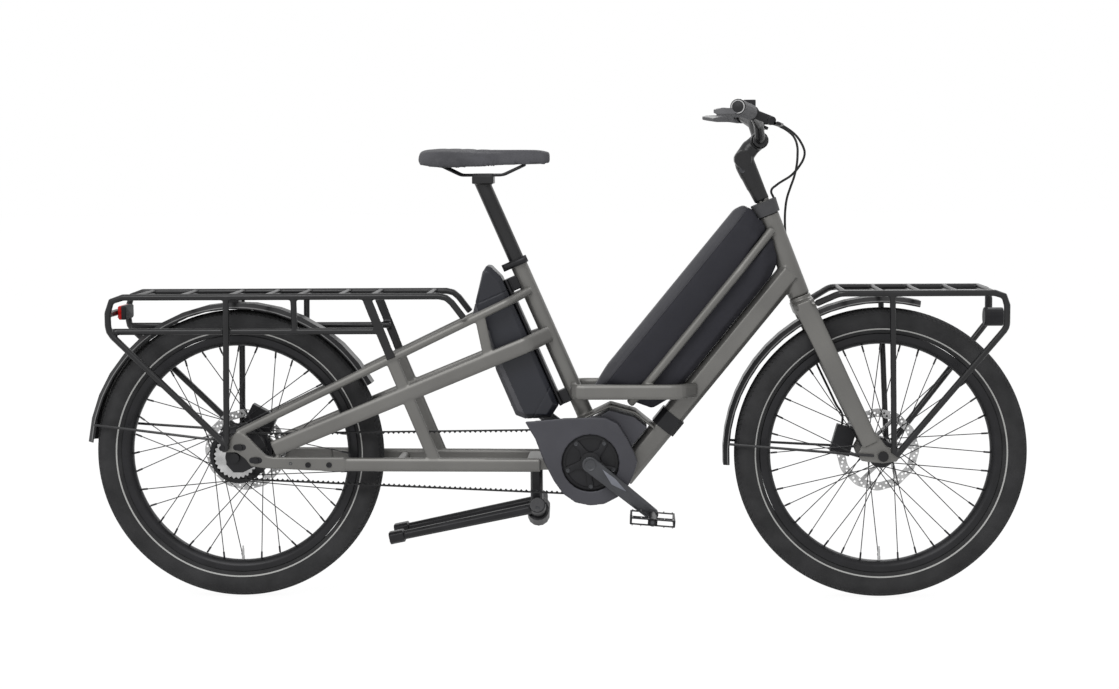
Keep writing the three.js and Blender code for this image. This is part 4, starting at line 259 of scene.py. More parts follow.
frame_paint = finish("satin_grey_paint", (98, 97, 95), (116, 115, 112), (0.38, 0.48), 0.55, 5, 2600, 2e-5)
rack_paint = finish("satin_black_tube", (12, 12, 14), (24, 24, 26), (0.3, 0.42), 0.2, 12, 1800, 3e-5)
black_metal = finish("black_anodised", (17, 17, 19), (31, 31, 34), (0.34, 0.5), 0.45, 20, 2200, 2e-5)
moulded = finish("moulded_black", (26, 26, 28), (38, 38, 41), (0.5, 0.62), 0, 15, 1500, 6e-5)
slate = finish("slate_guard", (50, 50, 56), (66, 66, 72), (0.45, 0.55), 0.15, 10, 1400, 5e-5)
battery_case = finish("battery_case", (16, 18, 26), (27, 29, 38), (0.36, 0.46), 0.1, 10, 1600, 4e-5)
rail_grey = finish("dark_grey_rail", (62, 62, 66), (78, 78, 82), (0.4, 0.5), 0.3, 12, 1600, 4e-5)
grip_rubber = finish("grip_rubber", (84, 84, 86), (102, 102, 104), (0.7, 0.85), 0, 30, 700, 3e-4)
black_rubber = finish("black_rubber", (28, 28, 29), (40, 40, 41), (0.6, 0.75), 0, 30, 900, 1e-4)
crank_grey = finish("crank_grey", (56, 57, 60), (74, 75, 78), (0.36, 0.48), 0.5, 14, 2000, 3e-5)
pale_edge = finish("pale_edge", (150, 150, 150), (186, 186, 186), (0.4, 0.5), 0.2, 30, 1500, 3e-5)
bright_steel = finish("bright_steel", (150, 150, 150), (196, 196, 196), (0.2, 0.34), 0.9, 40, 1500, 2e-5)
red_lens = finish("red_lens", (150, 14, 14), (196, 30, 26), (0.12, 0.2), 0, 60, 500, 2e-4)
print("finishes", len(bpy.data.materials))

# %% [markdown]
# Brake hoses are stiff: they leave the lever straight, swing forward in one loop and dive along the
# head tube. Each one is a Bezier curve through places a few centimetres apart, with a round bevel,
# so it stays one smooth line. The front hose goes down the left fork blade to its caliper; only the
# first stretch of the rear hose is outside, before the headset cover swallows it.

# %% The brake hoses
HOSE_WIDE = 5 * MM
FRONT_HOSE = [
    (452.5, 153.6, 1021.7), (458.1, 132.0, 1021.5), (477.1, 117.5, 1019.9), (492.9, 101.0, 1013.1),
    (506.8, 83.9, 1003.7), (518.2, 67.3, 990.9), (524.1, 53.6, 972.4), (524.2, 43.7, 950.7),
    (521.6, 36.7, 928.0), (516.1, 33.0, 905.1), (508.1, 32.2, 882.5), (501.0, 32.2, 859.7),
    (497.6, 31.4, 836.1), (496.7, 30.1, 812.2), (497.5, 29.7, 788.3), (499.8, 31.8, 764.6),
    (504.6, 36.9, 741.8), (510.6, 43.7, 719.6), (515.6, 50.8, 697.3), (518.2, 59.2, 675.1),
    (520.7, 67.1, 652.7), (525.5, 71.4, 629.7), (531.7, 72.7, 606.6), (538.6, 72.6, 583.7),
    (546.0, 71.9, 561.0), (554.0, 71.2, 538.4), (562.7, 70.9, 516.1), (572.3, 70.9, 494.2),
    (582.5, 70.6, 472.6), (592.9, 69.4, 451.0), (602.9, 66.0, 429.6), (612.7, 59.8, 408.7),
    (624.3, 52.0, 389.4), (624.2, 49.0, 367.8),
]
REAR_HOSE = [
    (452.5, -153.6, 1021.7), (453.1, -137.6, 1021.5), (464.6, -126.6, 1018.1), (476.8, -116.6, 1013.9),
    (486.9, -104.6, 1009.1), (495.8, -91.8, 1004.1), (504.1, -78.8, 998.8), (511.7, -65.7, 992.7),
    (518.7, -52.8, 985.5), (525.1, -40.4, 976.9), (530.8, -28.4, 967.3), (534.2, -17.0, 956.2),
    (532.3, -7.6, 943.2), (525.3, -1.3, 929.8), (515.8, 2.8, 917.1), (504.0, 4.6, 906.1),
    (490.0, 3.6, 897.7), (476.5, 1.8, 888.7), (465.3, 0.1, 877.1), (470.2, 0.0, 862.1),
]


def linked(name, data):
    """A new object of the scene that shows this data."""
    piece = bpy.data.objects.new(name, data)
    bpy.context.scene.collection.objects.link(piece)
    return piece


def hose(name, replaced, places):
    """A round hose through the places, which are in this scene's millimetres."""
    line = bpy.data.curves.new(name, "CURVE")
    line.dimensions = "3D"
    line.bevel_depth = HOSE_WIDE / 2
    line.bevel_resolution = 3
    line.use_fill_caps = True
    line.resolution_u = 6
    spline = line.splines.new("BEZIER")
    spline.bezier_points.add(len(places) - 1)
    for knot, place in zip(spline.bezier_points, places):
        knot.co = Vector(place) * MM
        knot.handle_left_type = knot.handle_right_type = "AUTO"
    piece = linked(name, line)
    line.materials.append(black_rubber)
    bpy.context.view_layer.update()
    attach(piece, "steering")
    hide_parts(replaced)
    exit = Vector(places[0]) * MM
    return piece


hose("front_hose", "front_brake_hose", FRONT_HOSE)
hose("rear_hose", "rear_brake_hose", REAR_HOSE)

# %% [markdown]
# A solid of the model is made of flat facets. Two ways give it back its real surface. A welded or
# cast piece is melted: a fine voxel skin is laid over it and smoothed, which rounds every facet and
# leaves a small fillet in every corner, as a weld does. A moulded or turned piece keeps its edges:
# its copy is merged and shaded smooth up to a given angle.

# %% Copies of the solids, melted or merged
bodies = {n: body for body, members in frame["record"]["behaviour"]["bodies"].items() for n in members}
slots = {part["node"]: part["material_slot"] for part in frame["record"]["subparts"]}


def alone(piece):
    """Select one piece and nothing else."""
    bpy.ops.object.select_all(action="DESELECT")
    piece.select_set(True)
    bpy.context.view_layer.objects.active = piece


def edit(piece, mode="FACE", action="SELECT"):
    """Open one piece in edit mode, with all of it selected, or by DESELECT nothing."""
    alone(piece)
    bpy.ops.object.mode_set(mode="EDIT")
    bpy.ops.mesh.select_mode(type=mode)
    bpy.ops.mesh.select_all(action=action)


def done():
    """Close edit mode."""
    bpy.ops.object.mode_set(mode="OBJECT")


def tidy_mesh(piece, recalculate=True):
    """Merge what lies on the same place, and turn the faces outwards."""
    edit(piece)
    bpy.ops.mesh.remove_doubles(threshold=1e-5)
    if recalculate:
        bpy.ops.mesh.normals_make_consistent(inside=False)
    done()


def modify(piece, kind, **settings):
    """Add a modifier with these settings to a piece, and apply it."""
    modifier = piece.modifiers.new(kind.lower(), kind)
    for name, value in settings.items():
        setattr(modifier, name, value)
    alone(piece)
    bpy.ops.object.modifier_apply(modifier=modifier.name)


def copy_of(source, name):
    """A free copy of one of the model's solids, as one merged skin."""
    piece = frame["nodes"][source].copy()
    piece.data = piece.data.copy()
    piece.name = piece.data.name = name
    bpy.context.scene.collection.objects.link(piece)
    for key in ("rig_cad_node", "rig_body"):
        if key in piece:
            del piece[key]
    piece.parent = None
    alone(piece)
    if piece.data.has_custom_normals:
        bpy.ops.mesh.customdata_custom_splitnormals_clear()
    tidy_mesh(piece, recalculate=False)
    return piece


def melt(piece, voxel, rounds=5):
    """Lay a voxel skin over a piece and smooth it."""
    modify(piece, "REMESH", mode="VOXEL", voxel_size=voxel * MM, use_smooth_shade=True)
    modify(piece, "SMOOTH", factor=0.5, iterations=rounds)


def crisp(piece, degrees=38):
    """Shade smooth, apart from edges sharper than the angle."""
    alone(piece)
    bpy.ops.object.shade_smooth_by_angle(angle=math.radians(degrees))


def wear(piece, material, second=None, wanted=None):
    """Give a piece its finish, and a second one to the faces for which wanted(face) holds."""
    piece.data.materials.clear()
    piece.data.materials.append(material)
    if second:
        piece.data.materials.append(second)
        for face in piece.data.polygons:
            face.material_index = int(wanted(face))


def join_bike(piece, body, slot, material, *replaced):
    """Give a piece its finish, its body and the solids that it stands for."""
    print(piece.name, len(piece.data.polygons), "faces")
    if material:
        wear(piece, material)
    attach(piece, body)
    if replaced:
        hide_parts(*replaced)
    return piece


def dress(source, word, material, voxel=0, rounds=5):
    """Stand for one solid by a melted or a merged copy."""
    piece = copy_of(source, f"{source}_{word}")
    if voxel:
        melt(piece, voxel, rounds)
    else:
        crisp(piece)
    return join_bike(piece, bodies[source], slots[source], material, source)


# %% [markdown]
# The frame is welded from hydroformed tubes and painted in one satin warm grey. Its copy is melted
# with a voxel of about two millimetres, which is the size of a small weld bead.

# %% The welded frame and fork
SEAT_FOOT = Vector((753, 394))
SEAT_LEAN = math.radians(66.4)
SEAT_TUBE_LENGTH = 371


def on_seat(up, back=0, y=0):
    """A place up the seat tube, in millimetres; back is measured square to it."""
    x = SEAT_FOOT.x - up * math.cos(SEAT_LEAN) - back * math.sin(SEAT_LEAN)
    return at(x, y, SEAT_FOOT.y + up * math.sin(SEAT_LEAN) - back * math.cos(SEAT_LEAN))


def rod(name, radius, length, sides=8):
    """A round rod up the Z axis from the origin, in millimetres."""
    bpy.ops.mesh.primitive_cylinder_add(
        vertices=sides, radius=radius * MM, depth=length * MM, location=(0, 0, length / 2 * MM)
    )
    piece = bpy.context.object
    piece.name = name
    bpy.ops.object.transform_apply(location=True, rotation=False, scale=False)
    return piece


def laid(foot, head):
    """The matrix that lays a piece made up the Z axis along the line from foot to head."""
    turn = (head - foot).to_track_quat("Z", "Y").to_matrix().to_4x4()
    return Matrix.Translation(foot) @ turn


def seat_rod(name, radius, low, high):
    """A rod along the seat tube, from one height to another."""
    piece = rod(name, radius, high - low, 48)
    piece.data.transform(laid(on_seat(low), on_seat(high)))
    return piece


def cut_by(piece, tool):
    """Take a tool's space out of a piece, and throw the tool away."""
    modify(piece, "BOOLEAN", operation="DIFFERENCE", object=tool)
    bpy.data.objects.remove(tool)


def joined(first, *others):
    """Make one piece of several, under the first one's name."""
    alone(first)
    for other in others:
        other.select_set(True)
    if others:
        bpy.ops.object.join()
    return first


# The seat tube's wall is thinner than a voxel, so its bore is filled first and bored out again.
main_frame = copy_of("main_frame", "main_frame_welded")
joined(main_frame, seat_rod("core", 18.2, 5, SEAT_TUBE_LENGTH - 0.4))
melt(main_frame, 2.4)
cut_by(main_frame, seat_rod("reamer", 17.2, 45, SEAT_TUBE_LENGTH + 20))
join_bike(main_frame, "frame", "frame_paint", frame_paint, "main_frame")
for source, voxel in [
    ("right_rear_frame", 2), ("left_rear_frame", 2), ("stay_bridge", 1.5),
    ("right_side_tubes", 1.8), ("left_side_tubes", 1.8), ("fork", 2),
]:
    dress(source, "welded", frame_paint, voxel)

# %% [markdown]
# Racks, bar and post are black, and bent or welded from round tube, so they are melted too. Axles,
# their carriers, covers, collar and rails are machined, and keep their edges. Calipers, levers, the
# battery's bracket and the stand are cast, which a finer voxel suits.

# %% The black tubes and castings
for source, voxel in [
    ("rear_rack", 2), ("front_rack", 2), ("handlebar", 1.4), ("seat_post", 1.6),
]:
    dress(source, "bent", rack_paint, voxel)
for source in ["right_axle_carrier", "left_axle_carrier", "down_tube_band", "headset_cover",
               "rear_axle", "front_axle", "seat_collar", "collar_lever", "saddle_rails"]:
    dress(source, "machined", black_metal)
for source, voxel in [
    ("rear_caliper", 1), ("front_caliper", 1), ("right_brake_clamp", 0.9), ("left_brake_clamp", 0.9),
    ("right_brake_lever", 0.9), ("left_brake_lever", 0.9), ("stand_mount", 1.4),
    ("right_stand_leg", 1.4), ("left_stand_leg", 1.4), ("battery_bracket", 1.4),
]:
    dress(source, "cast", black_metal, voxel, 3)

# %% [markdown]
# The drive: a slate housing and guard, a toothed belt, two toothed wheels and the forged cranks.

# %% The drive
dress("motor", "housing", slate, 2, 6)
dress("belt_guard", "plate", slate, 1.8, 8)
dress("belt", "toothed", black_rubber)
dress("front_sprocket", "toothed", black_metal)
dress("rear_sprocket", "toothed", bright_steel)
for source in ["right_crank", "left_crank"]:
    dress(source, "forged", crank_grey, 1.2, 4)

# %% [markdown]
# What goes round an axle is spun: its outline is drawn once, as radius and sideways place in
# millimetres, and the spin operator carries it round. Its doubles are merged where the last step
# meets the first.

# %% Spinning an outline round an axle
TURN = 2 * math.pi


def way_at(angle):
    """The direction at an angle in the plane of the wheels, from ahead to upwards."""
    return Vector((math.cos(angle), 0, math.sin(angle)))


def spun(name, outline, middle, steps):
    """Spin a closed outline of (radius, sideways) round the axis that runs sideways."""
    mesh = bpy.data.meshes.new(name)
    places = [middle + Vector((radius, side, 0)) * MM for radius, side in outline]
    edges = [(i, (i + 1) % len(places)) for i in range(len(places))]
    mesh.from_pydata(places, edges, [])
    piece = linked(name, mesh)
    edit(piece, "VERT")
    bpy.ops.mesh.spin(steps=steps, angle=TURN, center=middle, axis=(0, 1, 0))
    done()
    tidy_mesh(piece)
    return piece


def spun_at(matrix, name, outline, steps, degrees=30):
    """Spin an outline at the origin, and set the piece in its place by a matrix."""
    piece = spun(name, outline, Vector(), steps)
    piece.data.transform(matrix)
    tidy_mesh(piece)
    crisp(piece, degrees)
    return piece


def mirrored(half):
    """A closed outline from the half of it whose sideways places are above zero."""
    return half + [(radius, -side) for radius, side in reversed(half)]


def pick(piece, wanted):
    """Open a piece with the faces selected for which wanted(face) holds."""
    edit(piece, action="DESELECT")
    done()
    for face in piece.data.polygons:
        face.select = wanted(face)
    bpy.ops.object.mode_set(mode="EDIT")


def copies(model, name, matrices):
    """Copy one model to every matrix, each copy with its own mesh, and join the copies."""
    made = []
    for matrix in matrices:
        piece = model.copy()
        piece.data = model.data.copy()
        piece.data.transform(matrix)
        bpy.context.scene.collection.objects.link(piece)
        made.append(piece)
    bpy.data.objects.remove(model)
    piece = joined(*made)
    piece.name = piece.data.name = name
    return piece


print("spinning is ready")

# %% [markdown]
# The tyre is a city tread: a round section with rows of small blocks, whose grooves slant more
# towards the shoulder. Each face of the tread rows is inset and raised a little, so the grooves stay
# at the old level. The pale line on its side belongs to the rubber, so it is in the finish: it is
# where the distance from the axle is that of the line.

# %% The tyres
TREAD_UP, GROOVE_HALF = 1.3, 1.1
TREAD_FROM = 300
TREAD_STEPS = 180
SLANT = 0.0018
LINE_RADIUS = 268.5
TYRE_HALF = [
    (262, 9), (258.8, 14.6), (265, 19.5), (272, 24), (281, 27.6), (290, 28.6), (297, 27), (303, 23.2),
    (307.4, 18), (310.2, 12), (311.7, 6), (312.2, 0.9),
]


def ring_line(material, middle, distance, half_width, colour):
    """Draw a line on a finish, at one distance from the axle through the middle."""
    base = material.node_tree.nodes["Principled BSDF"].inputs["Base Color"]
    place = node(material, "TexCoord").outputs["Object"]
    centred = node(material, "Mapping", Vector=place, Location=-middle).outputs["Vector"]
    flat = node(material, "VectorMath", centred, (1, 0, 1), operation="MULTIPLY").outputs["Vector"]
    radius = node(material, "VectorMath", flat, operation="LENGTH").outputs["Value"]
    near = result(material, "COMPARE", radius, distance * MM, half_width * MM)
    mix = node(material, "Mix", near, data_type="RGBA")
    first, second = mix.inputs[6], mix.inputs[7]
    feed(material, first, base.links[0].from_socket)
    feed(material, second, shade(*colour))
    feed(material, base, mix.outputs[2])


def tyre(end, x):
    """A tyre with raised blocks and slanted grooves, round the axle at x."""
    name, middle = f"{end}_tread", axle(x)
    piece = spun(name, mirrored(TYRE_HALF), middle, TREAD_STEPS)
    for vertex in piece.data.vertices:
        spoke = vertex.co - middle
        if math.hypot(spoke.x, spoke.z) > TREAD_FROM * MM:
            angle = SLANT * abs(spoke.y) / MM
            vertex.co = middle + Matrix.Rotation(angle, 3, "Y") @ spoke
    pick(piece, lambda face: (face.center - middle).xz.length > TREAD_FROM * MM)
    bpy.ops.mesh.inset(thickness=GROOVE_HALF * MM, depth=TREAD_UP * MM, use_individual=True)
    done()
    crisp(piece, 30)
    rubber = finish(name + "_rubber", (35, 35, 36), (55, 55, 56), (0.68, 0.82), 0, 22, 700, 2e-4)
    ring_line(rubber, middle, LINE_RADIUS, 1.4, (172, 172, 170))
    join_bike(piece, f"{end}_wheel", "tyre", rubber, f"{end}_tyre")


for end, x in WHEELS:
    tyre(end, x)

# %% [markdown]
# The rim is one box section with two hooked edges. A slim valve stem points from it at the axle.

# %% Rims and valve stems
RIM_HALF = [
    (251, 3), (252.5, 13.6), (257.6, 15), (258, 16.8), (248, 17), (244, 15.6), (238, 8.5), (235.4, 4),
]
for end, x in WHEELS:
    rim = spun(f"{end}_rim_spun", mirrored(RIM_HALF), axle(x), 120)
    crisp(rim, 32)
    join_bike(rim, f"{end}_wheel", slots[f"{end}_rim"], black_metal, f"{end}_rim")

VALVE_FOOT = 236
VALVE_OUTLINE = [(0.01, 0), (3.2, 0), (3.2, 9), (2.4, 10), (2.4, 24), (1.6, 25), (1.6, 31), (0.01, 31)]
for end, x in WHEELS:
    foot = Matrix.Translation(axle(x) - Vector((0, 0, VALVE_FOOT * MM)))
    upright = Matrix.Rotation(math.pi / 2, 4, "X")
    stem = spun_at(foot @ upright, f"{end}_valve", VALVE_OUTLINE, 16, 40)
    join_bike(stem, f"{end}_wheel", "steel", pale_edge)

# %% [markdown]
# The hub is turned, with a flange at each side for the spokes, and the rear one is fat, because its
# gears are inside. Thirty-six spokes cross on their way from the flanges to the rim. One spoke with
# its nipple is modelled and copied; each copy is laid from its flange hole to its rim hole.

# %% Hubs and spokes
SPOKES = 36
CROSSINGS = 3
SPOKE_OUT = 235
NIPPLE_LONG = 14
BORE = 7.8


def spoke_lines(middle, flange_radius, flange_at):
    """The two ends of each spoke."""
    for i in range(SPOKES):
        side = 1 if i % 2 else -1
        turn = 1 if i % 4 < 2 else -1
        rim_angle = i * TURN / SPOKES
        hub_angle = rim_angle + turn * CROSSINGS * 2 * TURN / SPOKES
        foot = way_at(hub_angle) * flange_radius * 0.92
        head = way_at(rim_angle) * SPOKE_OUT
        foot.y = side * flange_at + turn * 1.6
        head.y = side * 3 + turn * 1.6
        yield middle + foot * MM, middle + head * MM


def hub(end, x, nut, barrel, flange, flange_at, face):
    """A turned hub with its spokes, all lengths in millimetres."""
    name, middle = f"{end}_hub", axle(x)
    half = [
        (BORE, face), (nut, face), (nut, face - 9), (nut + 2, face - 10), (flange * 0.72, flange_at + 4),
        (flange, flange_at + 1.6), (flange, flange_at - 1.6), (barrel + 2, flange_at - 3),
        (barrel, flange_at - 8),
    ]
    turned = spun(name, mirrored(half), middle, 48)
    lines = list(spoke_lines(middle, flange, flange_at))
    length = (lines[0][1] - lines[0][0]).length / MM
    nipple = rod("nipple", 2.1, NIPPLE_LONG, 8)
    nipple.data.transform(Matrix.Translation((0, 0, (length - NIPPLE_LONG) * MM)))
    spoke = joined(rod("spoke", 1.05, length), nipple)
    joined(turned, copies(spoke, name + "_spokes", [laid(foot, head) for foot, head in lines]))
    crisp(turned, 35)
    print(name, "spokes of", round(length, 1), "mm")
    solid = f"{name}_and_spokes"
    join_bike(turned, f"{end}_wheel", slots[solid], black_metal, solid)


hub("front", FRONT, 14, 16, 29, 27, 48)
hub("rear", REAR, 22, 54, 62, 30, 61.7)

# %% [markdown]
# A brake disc is a steel ring with a wavy edge, pierced with rows of holes that clean the pads, and
# carried by six leaning arms. The holes are cut by one Boolean whose tool is a joined set of rods.

# %% The brake discs
DISC_OUT, DISC_IN, DISC_THICK = 90, 72, 2
HOLES, HOLE_ROWS, DISC_ARMS = 72, (76, 80.5, 85), 6


def block(name, size, place, tilt=0):
    """A box, its size and place in millimetres, which leans by the tilt."""
    bpy.ops.mesh.primitive_cube_add(size=1)
    piece = bpy.context.object
    piece.name = name
    piece.scale = Vector(size) * MM
    piece.location = Vector(place) * MM
    piece.rotation_euler.y = tilt
    bpy.ops.object.transform_apply(location=True, rotation=True, scale=True)
    return piece


def sideways(name, radius, length, sides):
    """A rod that lies sideways, with its middle at the origin."""
    piece = rod(name, radius, length, sides)
    centred = Matrix.Translation((0, 0, -length / 2 * MM))
    piece.data.transform(Matrix.Rotation(math.pi / 2, 4, "X") @ centred)
    return piece


def disc(end, x, side):
    """A pierced wavy ring on six arms, at the given sideways place in millimetres."""
    name, middle = f"{end}_disc", axle(x) + Vector((0, side * MM, 0))
    half = DISC_THICK / 2
    edge = [(DISC_IN, -half), (DISC_IN, half), (DISC_OUT, half), (DISC_OUT, -half)]
    ring = spun(name, edge, middle, 144)
    for vertex in ring.data.vertices:
        spoke = vertex.co - middle
        wave = 1 - 0.012 * (1 - math.cos(12 * math.atan2(spoke.z, spoke.x)))
        vertex.co = middle + Vector((spoke.x * wave, spoke.y, spoke.z * wave))
    holes = [
        Matrix.Translation(middle + way_at(i * TURN / HOLES) * HOLE_ROWS[i % 3] * MM)
        for i in range(HOLES)
    ]
    cut_by(ring, copies(sideways("drill", 2.5, 12, 10), "drills", holes))
    arm = block("arm", (DISC_IN * 0.82, DISC_THICK * 0.9, 8), (46, 0, 12), math.radians(16))
    pick(arm, lambda face: abs(face.normal.y) > 0.9)
    bpy.ops.mesh.inset(thickness=1.6 * MM, depth=-0.5 * MM, use_individual=True)
    done()
    arms = copies(arm, "arms", [
        Matrix.Translation(middle) @ Matrix.Rotation(i * TURN / DISC_ARMS, 4, "Y")
        for i in range(DISC_ARMS)
    ])
    carrier = spun("carrier", [(22, -3), (22, 3), (27, 3), (31, 1.4), (31, -1.4), (27, -3)], middle, 48)
    crisp(joined(ring, arms, carrier), 30)
    join_bike(ring, f"{end}_wheel", "steel", bright_steel, f"{end}_brake_disc")


disc("front", FRONT, 41)
disc("rear", REAR, 51)

# %% [markdown]
# Two soft goods: the saddle, a skin over foam, and the frame bag, coated cloth over a soft filling.
# Both start a little smaller than their solid. Cloth physics blows them up from inside for twenty
# frames. A point may move only so far, and never inwards, because seams hold the corners out. One
# subdivision smooths the result, and the seams' grooves come after.

# %% Blowing up a padded piece
PRESSURE, FRAMES = 4, 20


def swell(piece, voxel, smaller, most):
    """Shrink, remesh and blow up a closed piece; most is how far a point may move."""
    edit(piece)
    bpy.ops.transform.shrink_fatten(value=-smaller * MM)
    done()
    melt(piece, voxel, 2)
    before = [(vertex.co.copy(), vertex.normal.copy()) for vertex in piece.data.vertices]
    cloth = piece.modifiers.new("filling", "CLOTH")
    cloth.settings.use_pressure = True
    cloth.settings.uniform_pressure_force = PRESSURE
    cloth.settings.effector_weights.gravity = 0
    cloth.point_cache.frame_start, cloth.point_cache.frame_end = 1, FRAMES
    for step in range(1, FRAMES + 1):
        bpy.context.scene.frame_set(step)
    alone(piece)
    bpy.ops.object.modifier_apply(modifier=cloth.name)
    bpy.context.scene.frame_set(1)
    moved = 0
    for vertex, (place, outwards) in zip(piece.data.vertices, before):
        way = vertex.co - place
        way -= outwards * min(way.dot(outwards), 0)
        if way.length > most * MM:
            way = way.normalized() * most * MM
        vertex.co = place + way
        moved = max(moved, (vertex.co - place).length)
    modify(piece, "SUBSURF", levels=1, render_levels=1)
    modify(piece, "SMOOTH", factor=0.5, iterations=5)
    bpy.ops.object.shade_smooth()
    print(piece.name, "moved", round(moved / MM, 1), "mm")


# %% [markdown]
# The bag's cloth is a fine plain weave with a coating, so it is nearly black with a soft sheen. The
# weave is two crossed wave patterns in the bump, with about one wave to the millimetre.

# %% Cloth and skin
WEAVE_SCALE = 330


def weave(material):
    """Cross two wave patterns, and add them to the bump of a finish."""
    place = node(material, "TexCoord").outputs["Object"]
    bump = material.node_tree.nodes["Bump"]
    height = bump.inputs["Height"].links[0].from_socket
    for direction in ("X", "Z"):
        band = node(material, "TexWave", Vector=place, Scale=WEAVE_SCALE, bands_direction=direction)
        height = result(material, "ADD", height, band.outputs["Fac"])
    feed(material, bump.inputs["Height"], height)
    return material


bag_cloth = weave(finish("coated_cloth", (34, 34, 40), (48, 48, 54), (0.55, 0.7), 0, 8, 1200, 2e-4))
band_cloth = weave(finish("band_cloth", (58, 58, 62), (74, 74, 78), (0.5, 0.65), 0, 8, 1200, 2e-4))
skin = finish("saddle_skin", (58, 58, 61), (80, 80, 84), (0.5, 0.62), 0, 16, 420, 4e-4)
under_skin = finish("saddle_edge", (34, 34, 36), (46, 46, 48), (0.5, 0.6), 0, 16, 600, 2e-4)
print("cloth and skin")

# %% [markdown]
# The saddle: after the swelling, the rear half of its top is embossed with shallow ridges that fan
# across, and its underside gets the black of the shell.

# %% The saddle
saddle = copy_of("saddle", "saddle_skin_and_foam")
swell(saddle, 4, 0.6, 3)
low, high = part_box("saddle")
RIDGES, RIDGE_DEPTH = 9, 1.1
RIDGES_FROM, RIDGES_SPAN = 0.12, 0.5
length = high.x - low.x
for vertex in saddle.data.vertices:
    share = (vertex.co.x - low.x) / length
    if vertex.normal.z > 0.6 and RIDGES_FROM < share < RIDGES_FROM + RIDGES_SPAN:
        fan = share * RIDGES * 2 + abs(vertex.co.y) / (high.y - low.y) * 2.2
        fade = math.sin(math.pi * (share - RIDGES_FROM) / RIDGES_SPAN)
        fade *= 1 - (abs(vertex.co.y) / high.y) ** 2
        vertex.co.z -= RIDGE_DEPTH * MM * max(0, fade) * (0.5 + 0.5 * math.cos(fan * math.pi)) ** 3
wear(saddle, skin, under_skin, lambda face: face.normal.z < -0.85)
join_bike(saddle, "saddle_and_post", "skin", None, "saddle")

# %% [markdown]
# The bag hangs between the slim side tubes. Its band along the upper edge is a paler cloth, parted
# from the rest by a groove, in which a cord of piping is laid later.

# %% The frame bag
bag = copy_of("frame_bag", "bag_cloth_and_filling")
swell(bag, 5, 0.8, 2.2)
DOWN_TUBE_TURN = math.radians(50.8)
along_tube = way_at(DOWN_TUBE_TURN)
off_tube = Vector((-math.sin(DOWN_TUBE_TURN), 0, math.cos(DOWN_TUBE_TURN)))
bag_top = max(vertex.co.dot(off_tube) for vertex in bag.data.vertices)
BAND = 21 * MM


def groove(piece, on_line, depth):
    """Press in the places of a fine mesh that lie on a line."""
    for vertex in piece.data.vertices:
        if on_line(vertex.co):
            vertex.co -= vertex.normal * depth * MM


groove(bag, lambda place: abs(place.dot(off_tube) - bag_top + BAND) < 1.6 * MM, 1.1)
wear(bag, bag_cloth, band_cloth, lambda face: face.center.dot(off_tube) > bag_top - BAND)
join_bike(bag, "frame", "fabric", None, "frame_bag")

# %% [markdown]
# The fenders are thin shells, which a voxel skin would eat, so they keep their own faces. Each gets
# one pale line along its rim, a painted highlight. A bolt head with a socket is modelled once for each
# row and copied. Each bolt is set on the piece that carries it: a ray is sent inwards from the side,
# and the bolt stands where the ray meets the surface.

# %% Fenders and bolts
for name, x, distance in [("rear_fender", REAR, 320.4), ("front_fender", FRONT, 328.4)]:
    fender_paint_and_highlight = finish(name + "_paint", (16, 16, 18), (30, 30, 32), (0.3, 0.42), 0.2, 12, 1800, 3e-5)
    # The pale grey line at the fender's rim radius is a painted highlight of its edge, drawn into the
    # black paint.
    ring_line(fender_paint_and_highlight, axle(x), distance, 0.9, (118, 118, 118))
    dress(name, "shell", fender_paint_and_highlight)


def bolt_head(name, radius, height):
    """A round head up the Z axis, with a chamfer and a round socket."""
    head = rod(name, radius, height, 24)
    pick(head, lambda face: face.normal.z > 0.9)
    bpy.ops.mesh.inset(thickness=radius * 0.16 * MM, depth=-radius * 0.1 * MM)
    bpy.ops.mesh.inset(thickness=radius * 0.3 * MM, depth=0)
    bpy.ops.mesh.inset(thickness=0, depth=-height * 0.5 * MM)
    done()
    crisp(head, 30)
    return head


BESIDE = [0, 9, -9, 14, -14]


def surface(piece, x, z, side):
    """Where a ray from one side meets a piece at x, z of the drawing, or just beside a bore there."""
    for shift in BESIDE:
        start = at(x + shift, side * 400, z)
        hit, place, _, _ = piece.ray_cast(start, Vector((0, -side, 0)))
        if hit and place.y * side > 0:
            return Vector((at(x, 0, z).x, place.y, place.z))
    print("nothing at", x, z, "on", piece.name)
    return at(x, side * 60, z)


def bolts(name, carrier, body, places, radius, height, side, material=black_metal):
    """Bolt heads on the side of a piece, at places given as x and z of the drawing."""
    carrier = bpy.data.objects[carrier]
    seats = [surface(carrier, x, z, side) for x, z in places]
    outwards = Vector((0, side, 0))
    matrices = [laid(seat - outwards * 0.4 * MM, seat + outwards * height * MM) for seat in seats]
    join_bike(copies(bolt_head(name, radius, height), name, matrices), body, "black_metal", material)


SIDES = [("right", -1), ("left", 1)]
STAY_BOLTS = [(159.7, 299), (204.8, 299)]
for hand, side in SIDES:
    bolts(f"{hand}_stay_bolts", f"{hand}_rear_frame_welded", "frame", STAY_BOLTS, 6, 2.6, side)

# %% [markdown]
# The rear plates have two slots in which the dark axle carrier is clamped, with a socket bolt in
# each. A dark plate with round ends shows the slot: two half circles joined by straight runs, extruded.

# %% Slots of the end plates
def slab(name, corners, low, high, bevel):
    """A plate cut to corners given as x and z of the drawing, from one sideways place to another."""
    mesh = bpy.data.meshes.new(name)
    mesh.from_pydata([at(x, low, z) for x, z in corners], [], [range(len(corners))])
    piece = linked(name, mesh)
    edit(piece)
    bpy.ops.mesh.extrude_region_move(TRANSFORM_OT_translate={"value": (0, (high - low) * MM, 0)})
    done()
    tidy_mesh(piece)
    modify(piece, "BEVEL", width=bevel * MM, segments=2, limit_method="ANGLE")
    crisp(piece, 30)
    return piece


ROUND_STEPS = 10


